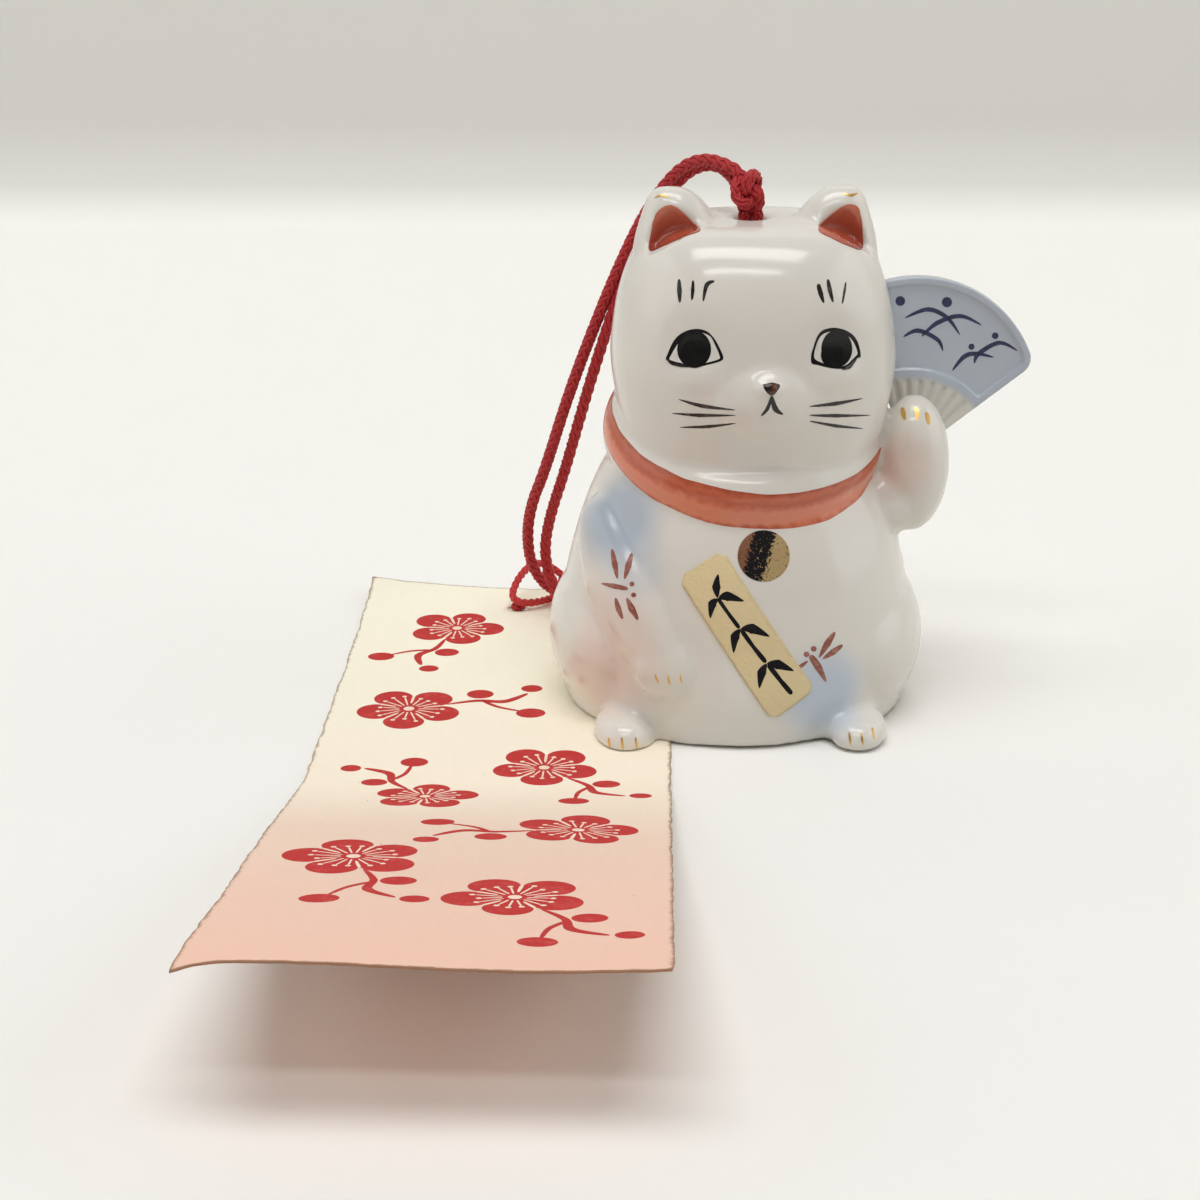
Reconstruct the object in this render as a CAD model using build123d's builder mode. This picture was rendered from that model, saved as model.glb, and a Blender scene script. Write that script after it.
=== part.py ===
"""Furin wind bell: a hollow porcelain cat on a red cord, with a clapper and a paper strip."""

import math
import os

from build123d import *

os.makedirs("parts", exist_ok=True)

# Sizes are in millimetres. The origin is the middle of the foot rim, the cat faces -Y, and +Z is up.
# A name that ends in share or shares holds parts of one of the sizes beside it.

# Clearances
OVERRUN = 2.0
LAY_GAP = 0.05
SWING_GAP = 0.3

# Porcelain skin
WALL = 3.0
OVAL_POINTS = 16

# Rounded lumps: level ovals as shares of the half height
LUMP_SHARES = (-0.985, -0.88, -0.6, -0.2, 0.2, 0.6, 0.88, 0.985)

# Torso: level ovals as shares of its height, width and depth
TORSO_HEIGHT = 50.0
TORSO_WIDTH = 62.0
TORSO_DEPTH = 56.0
TORSO_SQUARENESS = 2.15
TORSO_SHARES = (
    (0.00, 0.950, 0.950),
    (0.10, 0.985, 0.985),
    (0.26, 1.000, 1.000),
    (0.44, 0.965, 0.975),
    (0.60, 0.905, 0.920),
    (0.74, 0.830, 0.820),
    (0.86, 0.740, 0.720),
    (1.00, 0.620, 0.600),
)

# Head: level ovals as shares of its height, width and depth, turned a little to the raised paw
HEAD_SINK = 9.0
HEAD_HEIGHT = 43.7
HEAD_WIDTH = 48.2
HEAD_DEPTH = 46.0
HEAD_SHIFT = 2.1
HEAD_TURN = 2.5
HEAD_SQUARENESS = 2.5
HEAD_SHARES = (
    (0.00, 0.660, 0.700),
    (0.06, 0.800, 0.850),
    (0.15, 0.895, 0.930),
    (0.27, 0.955, 0.975),
    (0.42, 1.000, 1.000),
    (0.58, 0.990, 0.985),
    (0.72, 0.945, 0.940),
    (0.84, 0.870, 0.850),
    (0.93, 0.765, 0.735),
    (0.98, 0.630, 0.600),
    (1.00, 0.470, 0.440),
)

# Collar: the rim of a flat lens that leans down to the front
COLLAR_RADII = (24.4, 25.2, 10.0)
COLLAR_SHARES = (0.013, 0.0, 0.960)
COLLAR_LEAN = 20.0

# Haunches and front feet, one on each side
HAUNCH_RADII = (13.9, 22.0, 15.5)
HAUNCH_SHARES = (0.3065, 0.0, 0.24)
FOOT_RADII = (5.4, 8.0, 4.4)
FOOT_SHARES = (0.3150, -0.398, 0.024)

# Hanging arm, broad where it lies on the belly, from shoulder to paw
ARM_SHOULDER_SHARES = (-0.392, -0.140, 0.720)
ARM_WRIST_SHARES = (-0.205, -0.450, 0.230)
ARM_WIDTH = 16.0
ARM_DEPTH = 12.4
ARM_END = 2.3
PAW_RADII = (5.8, 3.0, 5.2)
PAW_SHARES = (-0.203, -0.454, 0.262)

# Muzzle and nose, as shares of the head
MUZZLE_RADII = (10.0, 5.2, 7.6)
MUZZLE_SHARES = (0.0, -0.424, 0.395)
NOSE_RADII = (2.2, 1.6, 1.5)
NOSE_SHARES = (0.0, -0.519, 0.458)

# Ears: level ellipses as shares of the height, the reach from base to tip, the width and the depth
EAR_BASE_SHARE = 0.778
EAR_HEIGHT = 15.0
EAR_WIDTH = 17.4
EAR_DEPTH = 15.0
EAR_SPREAD_SHARE = 0.264
EAR_REACH = 2.0
EAR_SETBACK = -1.4
EAR_SHARES = (
    (0.00, 0.00, 1.00, 1.00),
    (0.34, 0.02, 0.90, 0.88),
    (0.62, 0.14, 0.76, 0.68),
    (0.83, 0.42, 0.58, 0.50),
    (0.95, 0.72, 0.40, 0.34),
    (1.00, 0.82, 0.20, 0.18),
)
EAR_HOLLOW_SHARES = (0.64, 0.66, 0.78)
EAR_HOLLOW_RISE = 0.9
EAR_HOLLOW_FORWARD = 5.2
EAR_HOLLOW_OUTWARD = 0.7
EAR_FLOOR = 1.3

# Cord hole through the crown
CROWN_HOLE_DIA = 5.2
HANG_X = 1.4

# Foot rim: the arches that part it into lands
FRONT_ARCH_SHARE = 0.2032
FRONT_ARCH_WIDTH = 6.4
FRONT_ARCH_HEIGHT = 1.4
FRONT_GROOVE_DEPTH = 3.2
STRING_ARCH_X = -10.6
STRING_ARCH_WIDTH = 5.4
STRING_ARCH_HEIGHT = 3.0

# Raised arm, made apart and stuck on
FOREARM_RADII = (6.3, 6.8, 12.0)
FOREARM_SHARES = (0.4806, -0.0714, 0.860)
UPPER_ARM_RADII = (8.0, 8.0, 6.8)
UPPER_ARM_SHARES = (0.4113, -0.0446, 0.740)

# Fan, pressed as a slab about a pivot behind the paw and stuck to the paw and the cheek
FAN_DROP = 1.0
FAN_SETBACK = 6.0
FAN_OUTER_REACH = 26.9
FAN_INNER_REACH = 30.6
FAN_ARCH_RADIUS = 21.3
FAN_THICK = 2.6
FAN_START = 38.5
FAN_SPAN = 72.0
FAN_CORNER = 3.0
FAN_RIM = 1.2
FAN_RECESS = 0.5
LEAF_RADIUS = 14.7
RIB_COUNT = 8
RIB_GROOVE_DIA = 1.4
RIB_GROOVE_DEPTH = 0.4
RIB_START = 6.0

# Paper label stuck aslant on the belly
LABEL_WIDTH = 8.8
LABEL_LENGTH = 28.6
LABEL_THICK = 0.3
LABEL_CORNER = 1.6
LABEL_SHARES = (0.0097, 0.388)
LABEL_LEAN = 33.5

# Hanging cord and its knots
CORD_DIA = 2.2
CORD_NECK_PITCH = 2.4
CROWN_KNOT_DIA = 6.4
CROWN_KNOT_HEIGHT = 8.2
CROWN_KNOT_END_SHARE = 0.78
INNER_KNOT_DIA = 7.6
INNER_KNOT_HEIGHT = 7.4
INNER_KNOT_END_SHARE = 0.8

# Clapper on its string
STRING_DIA = 1.5
HITCH_DIA = 3.6
HITCH_HEIGHT = 2.8
HITCH_END_SHARE = 0.75
CLAPPER_DIA = 16.0
CLAPPER_HEIGHT = 11.0
CLAPPER_END_SHARE = 0.62
CLAPPER_BOTTOM_SHARE = 0.44
CLAPPER_BORE = 1.9
CLAPPER_KNOT_DIA = 4.2
CLAPPER_KNOT_HEIGHT = 2.6
CLAPPER_KNOT_END_SHARE = 0.75
TAIL_BOTTOM = 8.0

# Paper strip, laid under the bell and curling up at its near end
STRIP_WIDTH = 60.0
STRIP_THICK = 0.35
STRIP_HOLE = (-40.0, 43.4)
STRIP_YAW = -1.5
STRIP_FAR = 12.0
STRIP_FLAT = 86.0
STRIP_CURL_RUN = 106.0
STRIP_CURL_RISE = 22.0
STRIP_BEND_RADIUS = 96.0
STRIP_HOLE_DIA = 3.6

# Knots at the strip
STRIP_KNOT_DIA = 2.8
STRIP_KNOT_CAP_DIA = 4.6
STRIP_KNOT_CAP_HEIGHT = 0.6
LOOP_KNOT_DIA = 3.6
LOOP_KNOT_PLACE = (-30.6, 54.0, 2.1)

# Cord routes, chosen by hand as points from one end to the other
BEND_SHARE = 0.45
HANGING_CORD_ROUTE = (
    (-0.9, 1.5, 91.7),
    (-3.0, 3.4, 92.9),
    (-6.0, 6.0, 93.5),
    (-9.6, 9.2, 91.9),
    (-12.8, 11.8, 88.1),
    (-16.0, 14.2, 83.0),
    (-19.9, 16.2, 74.6),
    (-24.0, 18.9, 64.2),
    (-29.4, 23.2, 49.0),
    (-34.2, 29.3, 32.0),
    (-37.2, 33.6, 23.6),
    (-38.0, 37.8, 15.0),
    (-36.6, 41.4, 7.6),
    (-32.4, 44.2, 2.6),
    (-25.2, 48.8, 1.3),
    (-17.2, 48.0, 1.2),
    (-12.5, 43.3, 1.2),
    (-12.5, 36.7, 1.2),
    (-17.2, 32.0, 1.2),
    (-25.0, 31.7, 1.3),
    (-30.6, 35.8, 2.8),
    (-34.0, 38.4, 8.6),
    (-34.6, 36.6, 15.4),
    (-33.0, 32.6, 23.6),
    (-30.4, 28.4, 32.4),
    (-26.2, 22.0, 49.2),
    (-21.8, 18.0, 64.4),
    (-18.2, 16.6, 74.2),
    (-14.6, 15.4, 82.0),
    (-11.4, 13.6, 87.4),
    (-8.2, 11.0, 91.0),
    (-4.8, 8.0, 92.4),
    (-2.0, 5.0, 91.4),
    (-0.2, 2.2, 88.8),
)
STRIP_STRING_ROUTE = (
    (1.4, 0.0, 8.0),
    (1.4, 0.0, 4.6),
    (-0.4, 2.8, 1.6),
    (-4.4, 9.6, 1.0),
    (-9.6, 17.6, 1.0),
    (-10.9, 26.4, 1.0),
    (-9.6, 35.4, 1.0),
    (-9.0, 44.4, 1.0),
    (-13.6, 51.4, 1.0),
    (-21.0, 55.0, 1.2),
    (-28.8, 54.6, 1.9),
)
STRIP_LOOP_ROUTE = (
    (-31.6, 54.6, 3.2),
    (-34.2, 54.4, 5.6),
    (-37.4, 51.6, 6.6),
    (-40.0, 47.4, 5.0),
    (-41.4, 43.8, 2.4),
    (-39.8, 41.6, 1.7),
    (-36.8, 42.6, 1.4),
    (-33.8, 45.8, 1.1),
    (-31.8, 49.4, 1.2),
    (-30.8, 52.4, 1.7),
)


def oval_points(half_width, half_depth, squareness):
    """Return points round a superellipse, from +X and counterclockwise."""
    points = []
    for step in range(OVAL_POINTS):
        angle = 2 * math.pi * step / OVAL_POINTS
        across, along = math.cos(angle), math.sin(angle)
        x = math.copysign(half_width * abs(across) ** (2 / squareness), across)
        y = math.copysign(half_depth * abs(along) ** (2 / squareness), along)
        points.append((x, y))
    return points


def oval_skin(plane, sections, squareness):
    """Return a solid lofted through level ovals given as height, half width and half depth."""
    with BuildPart() as skin:
        for height, half_width, half_depth in sections:
            with BuildSketch(plane.offset(height)):
                with BuildLine():
                    Spline(*oval_points(half_width, half_depth, squareness), periodic=True)
                make_face()
        loft()
    return skin.part


def torso_sections(growth):
    """Return the torso's ovals, grown all round by a length."""
    return [
        (
            TORSO_HEIGHT * height_share,
            TORSO_WIDTH / 2 * width_share + growth,
            TORSO_DEPTH / 2 * depth_share + growth,
        )
        for height_share, width_share, depth_share in TORSO_SHARES
    ]


def head_sections(growth):
    """Return the head's ovals, grown all round by a length."""
    base = TORSO_HEIGHT - HEAD_SINK - growth
    height = HEAD_HEIGHT + 2 * growth
    return [
        (
            base + height * height_share,
            HEAD_WIDTH / 2 * width_share + growth,
            HEAD_DEPTH / 2 * depth_share + growth,
        )
        for height_share, width_share, depth_share in HEAD_SHARES
    ]


def torso_skin(growth):
    """Return the torso as a full solid, grown all round by a length."""
    return oval_skin(Plane.XY, torso_sections(growth), TORSO_SQUARENESS)


def head_skin(growth):
    """Return the head as a full solid, grown all round by a length."""
    return oval_skin(HEAD_PLANE, head_sections(growth), HEAD_SQUARENESS)


def on_torso(shares):
    """Return a place given as shares of the torso's width, depth and height."""
    return (TORSO_WIDTH * shares[0], TORSO_DEPTH * shares[1], TORSO_HEIGHT * shares[2])


def on_head(shares):
    """Return a place on the head's plane given as shares of the head's width, depth and height."""
    return (HEAD_WIDTH * shares[0], HEAD_DEPTH * shares[1], HEAD_BASE + HEAD_HEIGHT * shares[2])


def ellipsoid(radii):
    """Return a rounded lump about the origin, with a small flat at each pole."""
    sections = []
    for level_share in LUMP_SHARES:
        girth_share = math.sqrt(1 - level_share**2)
        sections.append((radii[2] * level_share, radii[0] * girth_share, radii[1] * girth_share))
    return oval_skin(Plane.XY, sections, 2)


def ear_form(side, shares, rise, forward, outward):
    """Return one ear, or its hollow, as a solid lofted through level ellipses."""
    across_share, deep_share, tall_share = shares
    with BuildPart() as ear:
        for height_share, reach_share, width_share, depth_share in EAR_SHARES:
            level = HEAD_BASE + HEAD_HEIGHT * EAR_BASE_SHARE + rise + EAR_HEIGHT * tall_share * height_share
            across = side * (HEAD_WIDTH * EAR_SPREAD_SHARE + outward + EAR_REACH * reach_share)
            with BuildSketch(HEAD_PLANE.offset(level)):
                with Locations((across, EAR_SETBACK - forward)):
                    Ellipse(
                        EAR_WIDTH / 2 * width_share * across_share,
                        EAR_DEPTH / 2 * depth_share * deep_share,
                    )
        loft()
    return ear.part


def ear_hollow(side, floor):
    """Return what is scooped out of an ear's front, down to a floor just under the head's skin."""
    with BuildPart() as scoop:
        add(ear_form(side, EAR_HOLLOW_SHARES, EAR_HOLLOW_RISE, EAR_HOLLOW_FORWARD, EAR_HOLLOW_OUTWARD))
        add(floor, mode=Mode.SUBTRACT)
    return scoop.part


def barrel(bottom, height, diameter, end_share):
    """Return a round knot or bead on the hanging axis, fuller in the middle than at its ends."""
    end = diameter / 2 * end_share
    with BuildPart() as form:
        with BuildSketch(Plane((HANG_X, 0, bottom), x_dir=(1, 0, 0), z_dir=(0, -1, 0))):
            with BuildLine():
                Line((0, 0), (end, 0))
                ThreePointArc((end, 0), (diameter / 2, height / 2), (end, height))
                Line((end, height), (0, height))
                Line((0, height), (0, 0))
            make_face()
        revolve(axis=Axis((HANG_X, 0, 0), (0, 0, 1)))
    return form.part


def bend_radii(name, points):
    """Return the largest even radius for each inner point of a route, and print the least."""
    radii = []
    for before, here, after in zip(points, points[1:], points[2:]):
        run_in = Vector(here) - Vector(before)
        run_out = Vector(after) - Vector(here)
        half_turn = math.radians(run_in.get_angle(run_out)) / 2
        radii.append(BEND_SHARE * min(run_in.length, run_out.length) / math.tan(half_turn))
    print(name, "bend radii:", [round(radius, 1) for radius in radii])
    return radii


def cord_tube(name, route, diameter):
    """Return a round cord swept along straight runs joined by tangent arcs."""
    with BuildPart() as tube:
        with BuildLine() as path:
            FilletPolyline(*route, radius=bend_radii(name, route))
        with BuildSketch(Plane(path.line @ 0, z_dir=path.line % 0)):
            Circle(diameter / 2)
        sweep(path=path.wires()[0])
    length = path.wires()[0].length
    filled_share = tube.part.volume / (math.pi * diameter**2 / 4 * length)
    print(name, "length:", round(length, 1), "filled share:", round(filled_share, 4))
    return tube.part


HEAD_PLANE = Plane.XY.rotated((0, 0, HEAD_TURN)).move(Location((HEAD_SHIFT, 0, 0)))
HEAD_BASE = TORSO_HEIGHT - HEAD_SINK
CROWN = HEAD_BASE + HEAD_HEIGHT
CEILING = CROWN - WALL

# Outer form of the porcelain cat
torso = torso_skin(0)
head = head_skin(0)
collar_lens = ellipsoid(COLLAR_RADII)
collar_place = Location(on_torso(COLLAR_SHARES), (COLLAR_LEAN, 0, 0))
haunch_lump = ellipsoid(HAUNCH_RADII)
foot_lump = ellipsoid(FOOT_RADII)
arm_shoulder = Vector(on_torso(ARM_SHOULDER_SHARES))
arm_wrist = Vector(on_torso(ARM_WRIST_SHARES))
arm_line = arm_shoulder - arm_wrist
arm_middle = (arm_shoulder + arm_wrist) / 2
arm_across = arm_line.cross(Vector(arm_middle.X, arm_middle.Y, 0))
arm_lump = ellipsoid((ARM_WIDTH / 2, ARM_DEPTH / 2, arm_line.length / 2 + ARM_END))
paw_lump = ellipsoid(PAW_RADII)
muzzle_lump = ellipsoid(MUZZLE_RADII)
nose_lump = ellipsoid(NOSE_RADII)
ears = [ear_form(side, (1, 1, 1), 0, 0, 0) for side in (-1, 1)]
ear_floor = head_skin(-EAR_FLOOR)
ear_hollows = [ear_hollow(side, ear_floor) for side in (-1, 1)]

with BuildPart() as cat_form:
    add(torso)
    add(head)
    with Locations(collar_place):
        add(collar_lens)
    for side in (-1, 1):
        x, y, z = on_torso(HAUNCH_SHARES)
        with Locations((side * x, y, z)):
            add(haunch_lump)
        x, y, z = on_torso(FOOT_SHARES)
        with Locations((side * x, y, z)):
            add(foot_lump)
    with Locations(Plane(arm_middle, x_dir=arm_across, z_dir=arm_line).location):
        add(arm_lump)
    with Locations(on_torso(PAW_SHARES)):
        add(paw_lump)
    with Locations(HEAD_PLANE.location * Location(on_head(MUZZLE_SHARES))):
        add(muzzle_lump)
    with Locations(HEAD_PLANE.location * Location(on_head(NOSE_SHARES))):
        add(nose_lump)
    for ear, hollow in zip(ears, ear_hollows):
        add(ear)
        add(hollow, mode=Mode.SUBTRACT)
    split(bisect_by=Plane.XY, keep=Keep.TOP)

# Hollow of the bell, open at the foot
torso_hollow = torso_skin(-WALL)
head_hollow = head_skin(-WALL)

with BuildPart() as cat_bell:
    add(cat_form.part)
    add(torso_hollow, mode=Mode.SUBTRACT)
    add(head_hollow, mode=Mode.SUBTRACT)
    with BuildSketch(Plane((HANG_X, 0, CROWN + OVERRUN))):
        Circle(CROWN_HOLE_DIA / 2)
    extrude(amount=-WALL - 2 * OVERRUN, mode=Mode.SUBTRACT)
    with BuildSketch(Plane.XZ):
        with Locations((-TORSO_WIDTH * FRONT_ARCH_SHARE, 0)):
            Ellipse(FRONT_ARCH_WIDTH / 2, FRONT_ARCH_HEIGHT)
    extrude(amount=TORSO_DEPTH, mode=Mode.SUBTRACT)
    with BuildSketch(Plane.XZ.offset(TORSO_DEPTH / 2 - FRONT_GROOVE_DEPTH)):
        with Locations((TORSO_WIDTH * FRONT_ARCH_SHARE, 0)):
            Ellipse(FRONT_ARCH_WIDTH / 2, FRONT_ARCH_HEIGHT)
    extrude(amount=TORSO_DEPTH, mode=Mode.SUBTRACT)
    with BuildSketch(Plane.XZ):
        with Locations((STRING_ARCH_X, 0)):
            Ellipse(STRING_ARCH_WIDTH / 2, STRING_ARCH_HEIGHT)
    extrude(amount=-TORSO_DEPTH, mode=Mode.SUBTRACT)
cat_bell.part.label = "cat_bell"
export_step(cat_bell.part, "parts/cat_bell.step")

# Raised arm, cut to seat on the shoulder and the collar
forearm_lump = ellipsoid(FOREARM_RADII)
upper_arm_lump = ellipsoid(UPPER_ARM_RADII)
arm_seats = (torso_skin(0), head_skin(0), ellipsoid(COLLAR_RADII).moved(collar_place))

with BuildPart() as raised_arm:
    with Locations(on_torso(FOREARM_SHARES)):
        add(forearm_lump)
    with Locations(on_torso(UPPER_ARM_SHARES)):
        add(upper_arm_lump)
    for seat in arm_seats:
        add(seat, mode=Mode.SUBTRACT)
raised_arm.part.label = "raised_arm"
export_step(raised_arm.part, "parts/raised_arm.step")

# Fan with a raised rim round its leaf and grooves between its ribs
forearm = Vector(on_torso(FOREARM_SHARES))
fan_pivot = forearm + Vector(0, FAN_SETBACK, -FAN_DROP)
fan_plane = Plane(fan_pivot, x_dir=(1, 0, 0), z_dir=(0, -1, 0))
fan_seats = (head_skin(0), ellipsoid(COLLAR_RADII).moved(collar_place), raised_arm.part)

with BuildPart() as fan:
    with BuildSketch(fan_plane):
        with BuildLine():
            outer_edge = PolarLine((0, 0), FAN_OUTER_REACH, FAN_START)
            inner_edge = PolarLine((0, 0), FAN_INNER_REACH, FAN_START + FAN_SPAN)
            RadiusArc(outer_edge @ 1, inner_edge @ 1, -FAN_ARCH_RADIUS)
        make_face()
        fillet(vertices().sort_by_distance((0, 0))[-2:], radius=FAN_CORNER)
    extrude(amount=-FAN_THICK)
    with BuildSketch(fan_plane):
        with BuildLine():
            leaf = CenterArc((0, 0), LEAF_RADIUS, FAN_START, FAN_SPAN)
            outer_run = PolarLine(leaf @ 0, FAN_OUTER_REACH - LEAF_RADIUS, FAN_START)
            inner_run = PolarLine(leaf @ 1, FAN_INNER_REACH - LEAF_RADIUS, FAN_START + FAN_SPAN)
            RadiusArc(outer_run @ 1, inner_run @ 1, -FAN_ARCH_RADIUS)
        make_face()
        fillet(vertices().sort_by_distance((0, 0))[-2:], radius=FAN_CORNER)
        offset(amount=-FAN_RIM)
    extrude(amount=-FAN_RECESS, mode=Mode.SUBTRACT)
    for rib in range(1, RIB_COUNT):
        heading = math.radians(FAN_START + FAN_SPAN * rib / RIB_COUNT)
        along = Vector(math.cos(heading), 0, math.sin(heading))
        start = fan_pivot + Vector(0, RIB_GROOVE_DEPTH - RIB_GROOVE_DIA / 2, 0)
        with BuildSketch(Plane(start + along * RIB_START, z_dir=along)):
            Circle(RIB_GROOVE_DIA / 2)
        extrude(amount=LEAF_RADIUS - FAN_RIM / 2 - RIB_START, mode=Mode.SUBTRACT)
    for seat in fan_seats:
        add(seat, mode=Mode.SUBTRACT)
fan.part.label = "fan"
export_step(fan.part, "parts/fan.step")

# Label, a sheet that follows the belly
label_face = torso_skin(LABEL_THICK)
label_back = torso_skin(0)

with BuildPart() as paper_label:
    with BuildSketch(Plane.XZ):
        label_place = (TORSO_WIDTH * LABEL_SHARES[0], TORSO_HEIGHT * LABEL_SHARES[1])
        with Locations(Location(label_place, LABEL_LEAN)):
            Rectangle(LABEL_WIDTH, LABEL_LENGTH)
        chamfer(vertices(), length=LABEL_CORNER)
    extrude(amount=TORSO_DEPTH)
    add(label_face, mode=Mode.INTERSECT)
    add(label_back, mode=Mode.SUBTRACT)
paper_label.part.label = "paper_label"
export_step(paper_label.part, "parts/paper_label.step")

# Knot on the crown, the doubled cord through the hole and the knot inside that carries the bell
crown_knot = barrel(CROWN, CROWN_KNOT_HEIGHT, CROWN_KNOT_DIA, CROWN_KNOT_END_SHARE)
crown_knot.label = "crown_knot"
export_step(crown_knot, "parts/crown_knot.step")

with BuildPart() as cord_neck:
    with BuildSketch(Plane((HANG_X, 0, CEILING))):
        with GridLocations(CORD_NECK_PITCH, 0, 2, 1):
            Circle(CORD_DIA / 2)
    extrude(amount=CROWN - CEILING)
cord_neck.part.label = "cord_neck"
export_step(cord_neck.part, "parts/cord_neck.step")

inner_knot_bottom = CEILING - INNER_KNOT_HEIGHT
inner_knot = barrel(inner_knot_bottom, INNER_KNOT_HEIGHT, INNER_KNOT_DIA, INNER_KNOT_END_SHARE)
inner_knot.label = "inner_knot"
export_step(inner_knot, "parts/inner_knot.step")

# Clapper string and its hitch under the inner knot
hitch_bottom = inner_knot_bottom - HITCH_HEIGHT
string_hitch = barrel(hitch_bottom, HITCH_HEIGHT, HITCH_DIA, HITCH_END_SHARE)
string_hitch.label = "string_hitch"
export_step(string_hitch, "parts/string_hitch.step")

swing_height = hitch_bottom - SWING_GAP - STRING_DIA / 2
clapper_bottom = TORSO_HEIGHT * CLAPPER_BOTTOM_SHARE

with BuildPart() as clapper_string:
    with BuildSketch(Plane((HANG_X, 0, clapper_bottom))):
        Circle(STRING_DIA / 2)
    extrude(amount=swing_height - clapper_bottom)
    with Locations((HANG_X, 0, swing_height)):
        Sphere(STRING_DIA / 2)
clapper_string.part.label = "clapper_string"
export_step(clapper_string.part, "parts/clapper_string.step")

# Clapper bead and the knot that it sits on
clapper_bead = barrel(clapper_bottom, CLAPPER_HEIGHT, CLAPPER_DIA, CLAPPER_END_SHARE)

with BuildPart() as clapper:
    add(clapper_bead)
    with BuildSketch(Plane((HANG_X, 0, clapper_bottom))):
        Circle(CLAPPER_BORE / 2)
    extrude(amount=CLAPPER_HEIGHT, mode=Mode.SUBTRACT)
clapper.part.label = "clapper"
export_step(clapper.part, "parts/clapper.step")

clapper_knot_bottom = clapper_bottom - CLAPPER_KNOT_HEIGHT
clapper_knot = barrel(clapper_knot_bottom, CLAPPER_KNOT_HEIGHT, CLAPPER_KNOT_DIA, CLAPPER_KNOT_END_SHARE)
clapper_knot.label = "clapper_knot"
export_step(clapper_knot, "parts/clapper_knot.step")

with BuildPart() as clapper_tail:
    with BuildSketch(Plane((HANG_X, 0, TAIL_BOTTOM))):
        Circle(STRING_DIA / 2)
    extrude(amount=clapper_knot_bottom - TAIL_BOTTOM)
clapper_tail.part.label = "clapper_tail"
export_step(clapper_tail.part, "parts/clapper_tail.step")

# Free cords
hanging_cord = cord_tube("hanging_cord", HANGING_CORD_ROUTE, CORD_DIA)
hanging_cord.label = "hanging_cord"
export_step(hanging_cord, "parts/hanging_cord.step")

strip_string = cord_tube("strip_string", STRIP_STRING_ROUTE, STRING_DIA)
strip_string.label = "strip_string"
export_step(strip_string, "parts/strip_string.step")

strip_loop = cord_tube("strip_loop", STRIP_LOOP_ROUTE, STRING_DIA)
strip_loop.label = "strip_loop"
export_step(strip_loop, "parts/strip_loop.step")

with BuildPart() as loop_knot:
    with Locations(LOOP_KNOT_PLACE):
        Sphere(LOOP_KNOT_DIA / 2)
loop_knot.part.label = "loop_knot"
export_step(loop_knot.part, "parts/loop_knot.step")

# Paper strip, drawn from the side about its hole
strip_top = -LAY_GAP
strip_plane = Plane((STRIP_HOLE[0], STRIP_HOLE[1], strip_top)).rotated((0, 0, STRIP_YAW))
strip_side = Plane(strip_plane.origin, x_dir=strip_plane.y_dir, z_dir=strip_plane.x_dir)

with BuildPart() as paper_strip:
    with BuildSketch(strip_side):
        with BuildLine() as curl:
            FilletPolyline(
                (STRIP_FAR, -STRIP_THICK / 2),
                (-STRIP_FLAT, -STRIP_THICK / 2),
                (-STRIP_FLAT - STRIP_CURL_RUN, STRIP_CURL_RISE),
                radius=STRIP_BEND_RADIUS,
            )
        trace(line_width=STRIP_THICK)
    extrude(amount=STRIP_WIDTH / 2, both=True)
    with BuildSketch(strip_plane):
        Circle(STRIP_HOLE_DIA / 2)
    extrude(amount=-STRIP_THICK, mode=Mode.SUBTRACT)
paper_strip.part.label = "paper_strip"
export_step(paper_strip.part, "parts/paper_strip.step")

# Knot in the strip's hole, capped above the paper
with BuildPart() as strip_knot:
    with BuildSketch(strip_plane.offset(-STRIP_THICK)):
        Circle(STRIP_KNOT_DIA / 2)
    extrude(amount=STRIP_THICK + LAY_GAP)
    with BuildSketch(strip_plane.offset(LAY_GAP)):
        Circle(STRIP_KNOT_CAP_DIA / 2)
    extrude(amount=STRIP_KNOT_CAP_HEIGHT)
strip_knot.part.label = "strip_knot"
export_step(strip_knot.part, "parts/strip_knot.step")
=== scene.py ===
"""Looks of a furin wind bell: a glazed cat on a red cord, with a clapper and a paper strip."""

import logging
import math
import random
from dataclasses import dataclass, field
from enum import Enum
from typing import Callable, Iterable, Sequence

import bmesh
import bpy
from mathutils import Matrix, Vector, noise
from mathutils.bvhtree import BVHTree


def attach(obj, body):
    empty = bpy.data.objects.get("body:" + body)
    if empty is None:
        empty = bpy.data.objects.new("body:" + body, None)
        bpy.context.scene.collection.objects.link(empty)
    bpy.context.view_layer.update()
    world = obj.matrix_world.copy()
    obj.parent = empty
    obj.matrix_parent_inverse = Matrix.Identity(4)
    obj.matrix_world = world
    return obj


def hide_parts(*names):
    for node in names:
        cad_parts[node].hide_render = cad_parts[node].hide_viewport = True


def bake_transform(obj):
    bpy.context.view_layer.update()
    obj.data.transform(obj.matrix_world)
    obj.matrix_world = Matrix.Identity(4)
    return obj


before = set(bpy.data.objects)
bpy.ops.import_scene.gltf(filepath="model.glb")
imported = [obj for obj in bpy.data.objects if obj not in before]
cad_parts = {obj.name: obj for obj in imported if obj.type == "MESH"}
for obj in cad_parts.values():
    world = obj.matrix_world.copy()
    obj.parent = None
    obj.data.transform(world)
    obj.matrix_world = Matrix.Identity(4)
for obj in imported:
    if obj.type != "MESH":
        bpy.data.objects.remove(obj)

LOG = logging.getLogger("wind_bell")
MM = 0.001
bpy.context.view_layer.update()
HANG_X = 1.4
STRIP_HOLE = (-40.0, 43.4)
GLASS_IOR = 1.52
WELD_MM = 0.002
MARK_WELD_MM = 0.001
KNOT_STEPS = 120
KNOT_LOBE = 0.55
KNOT_START = 0.4

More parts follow.
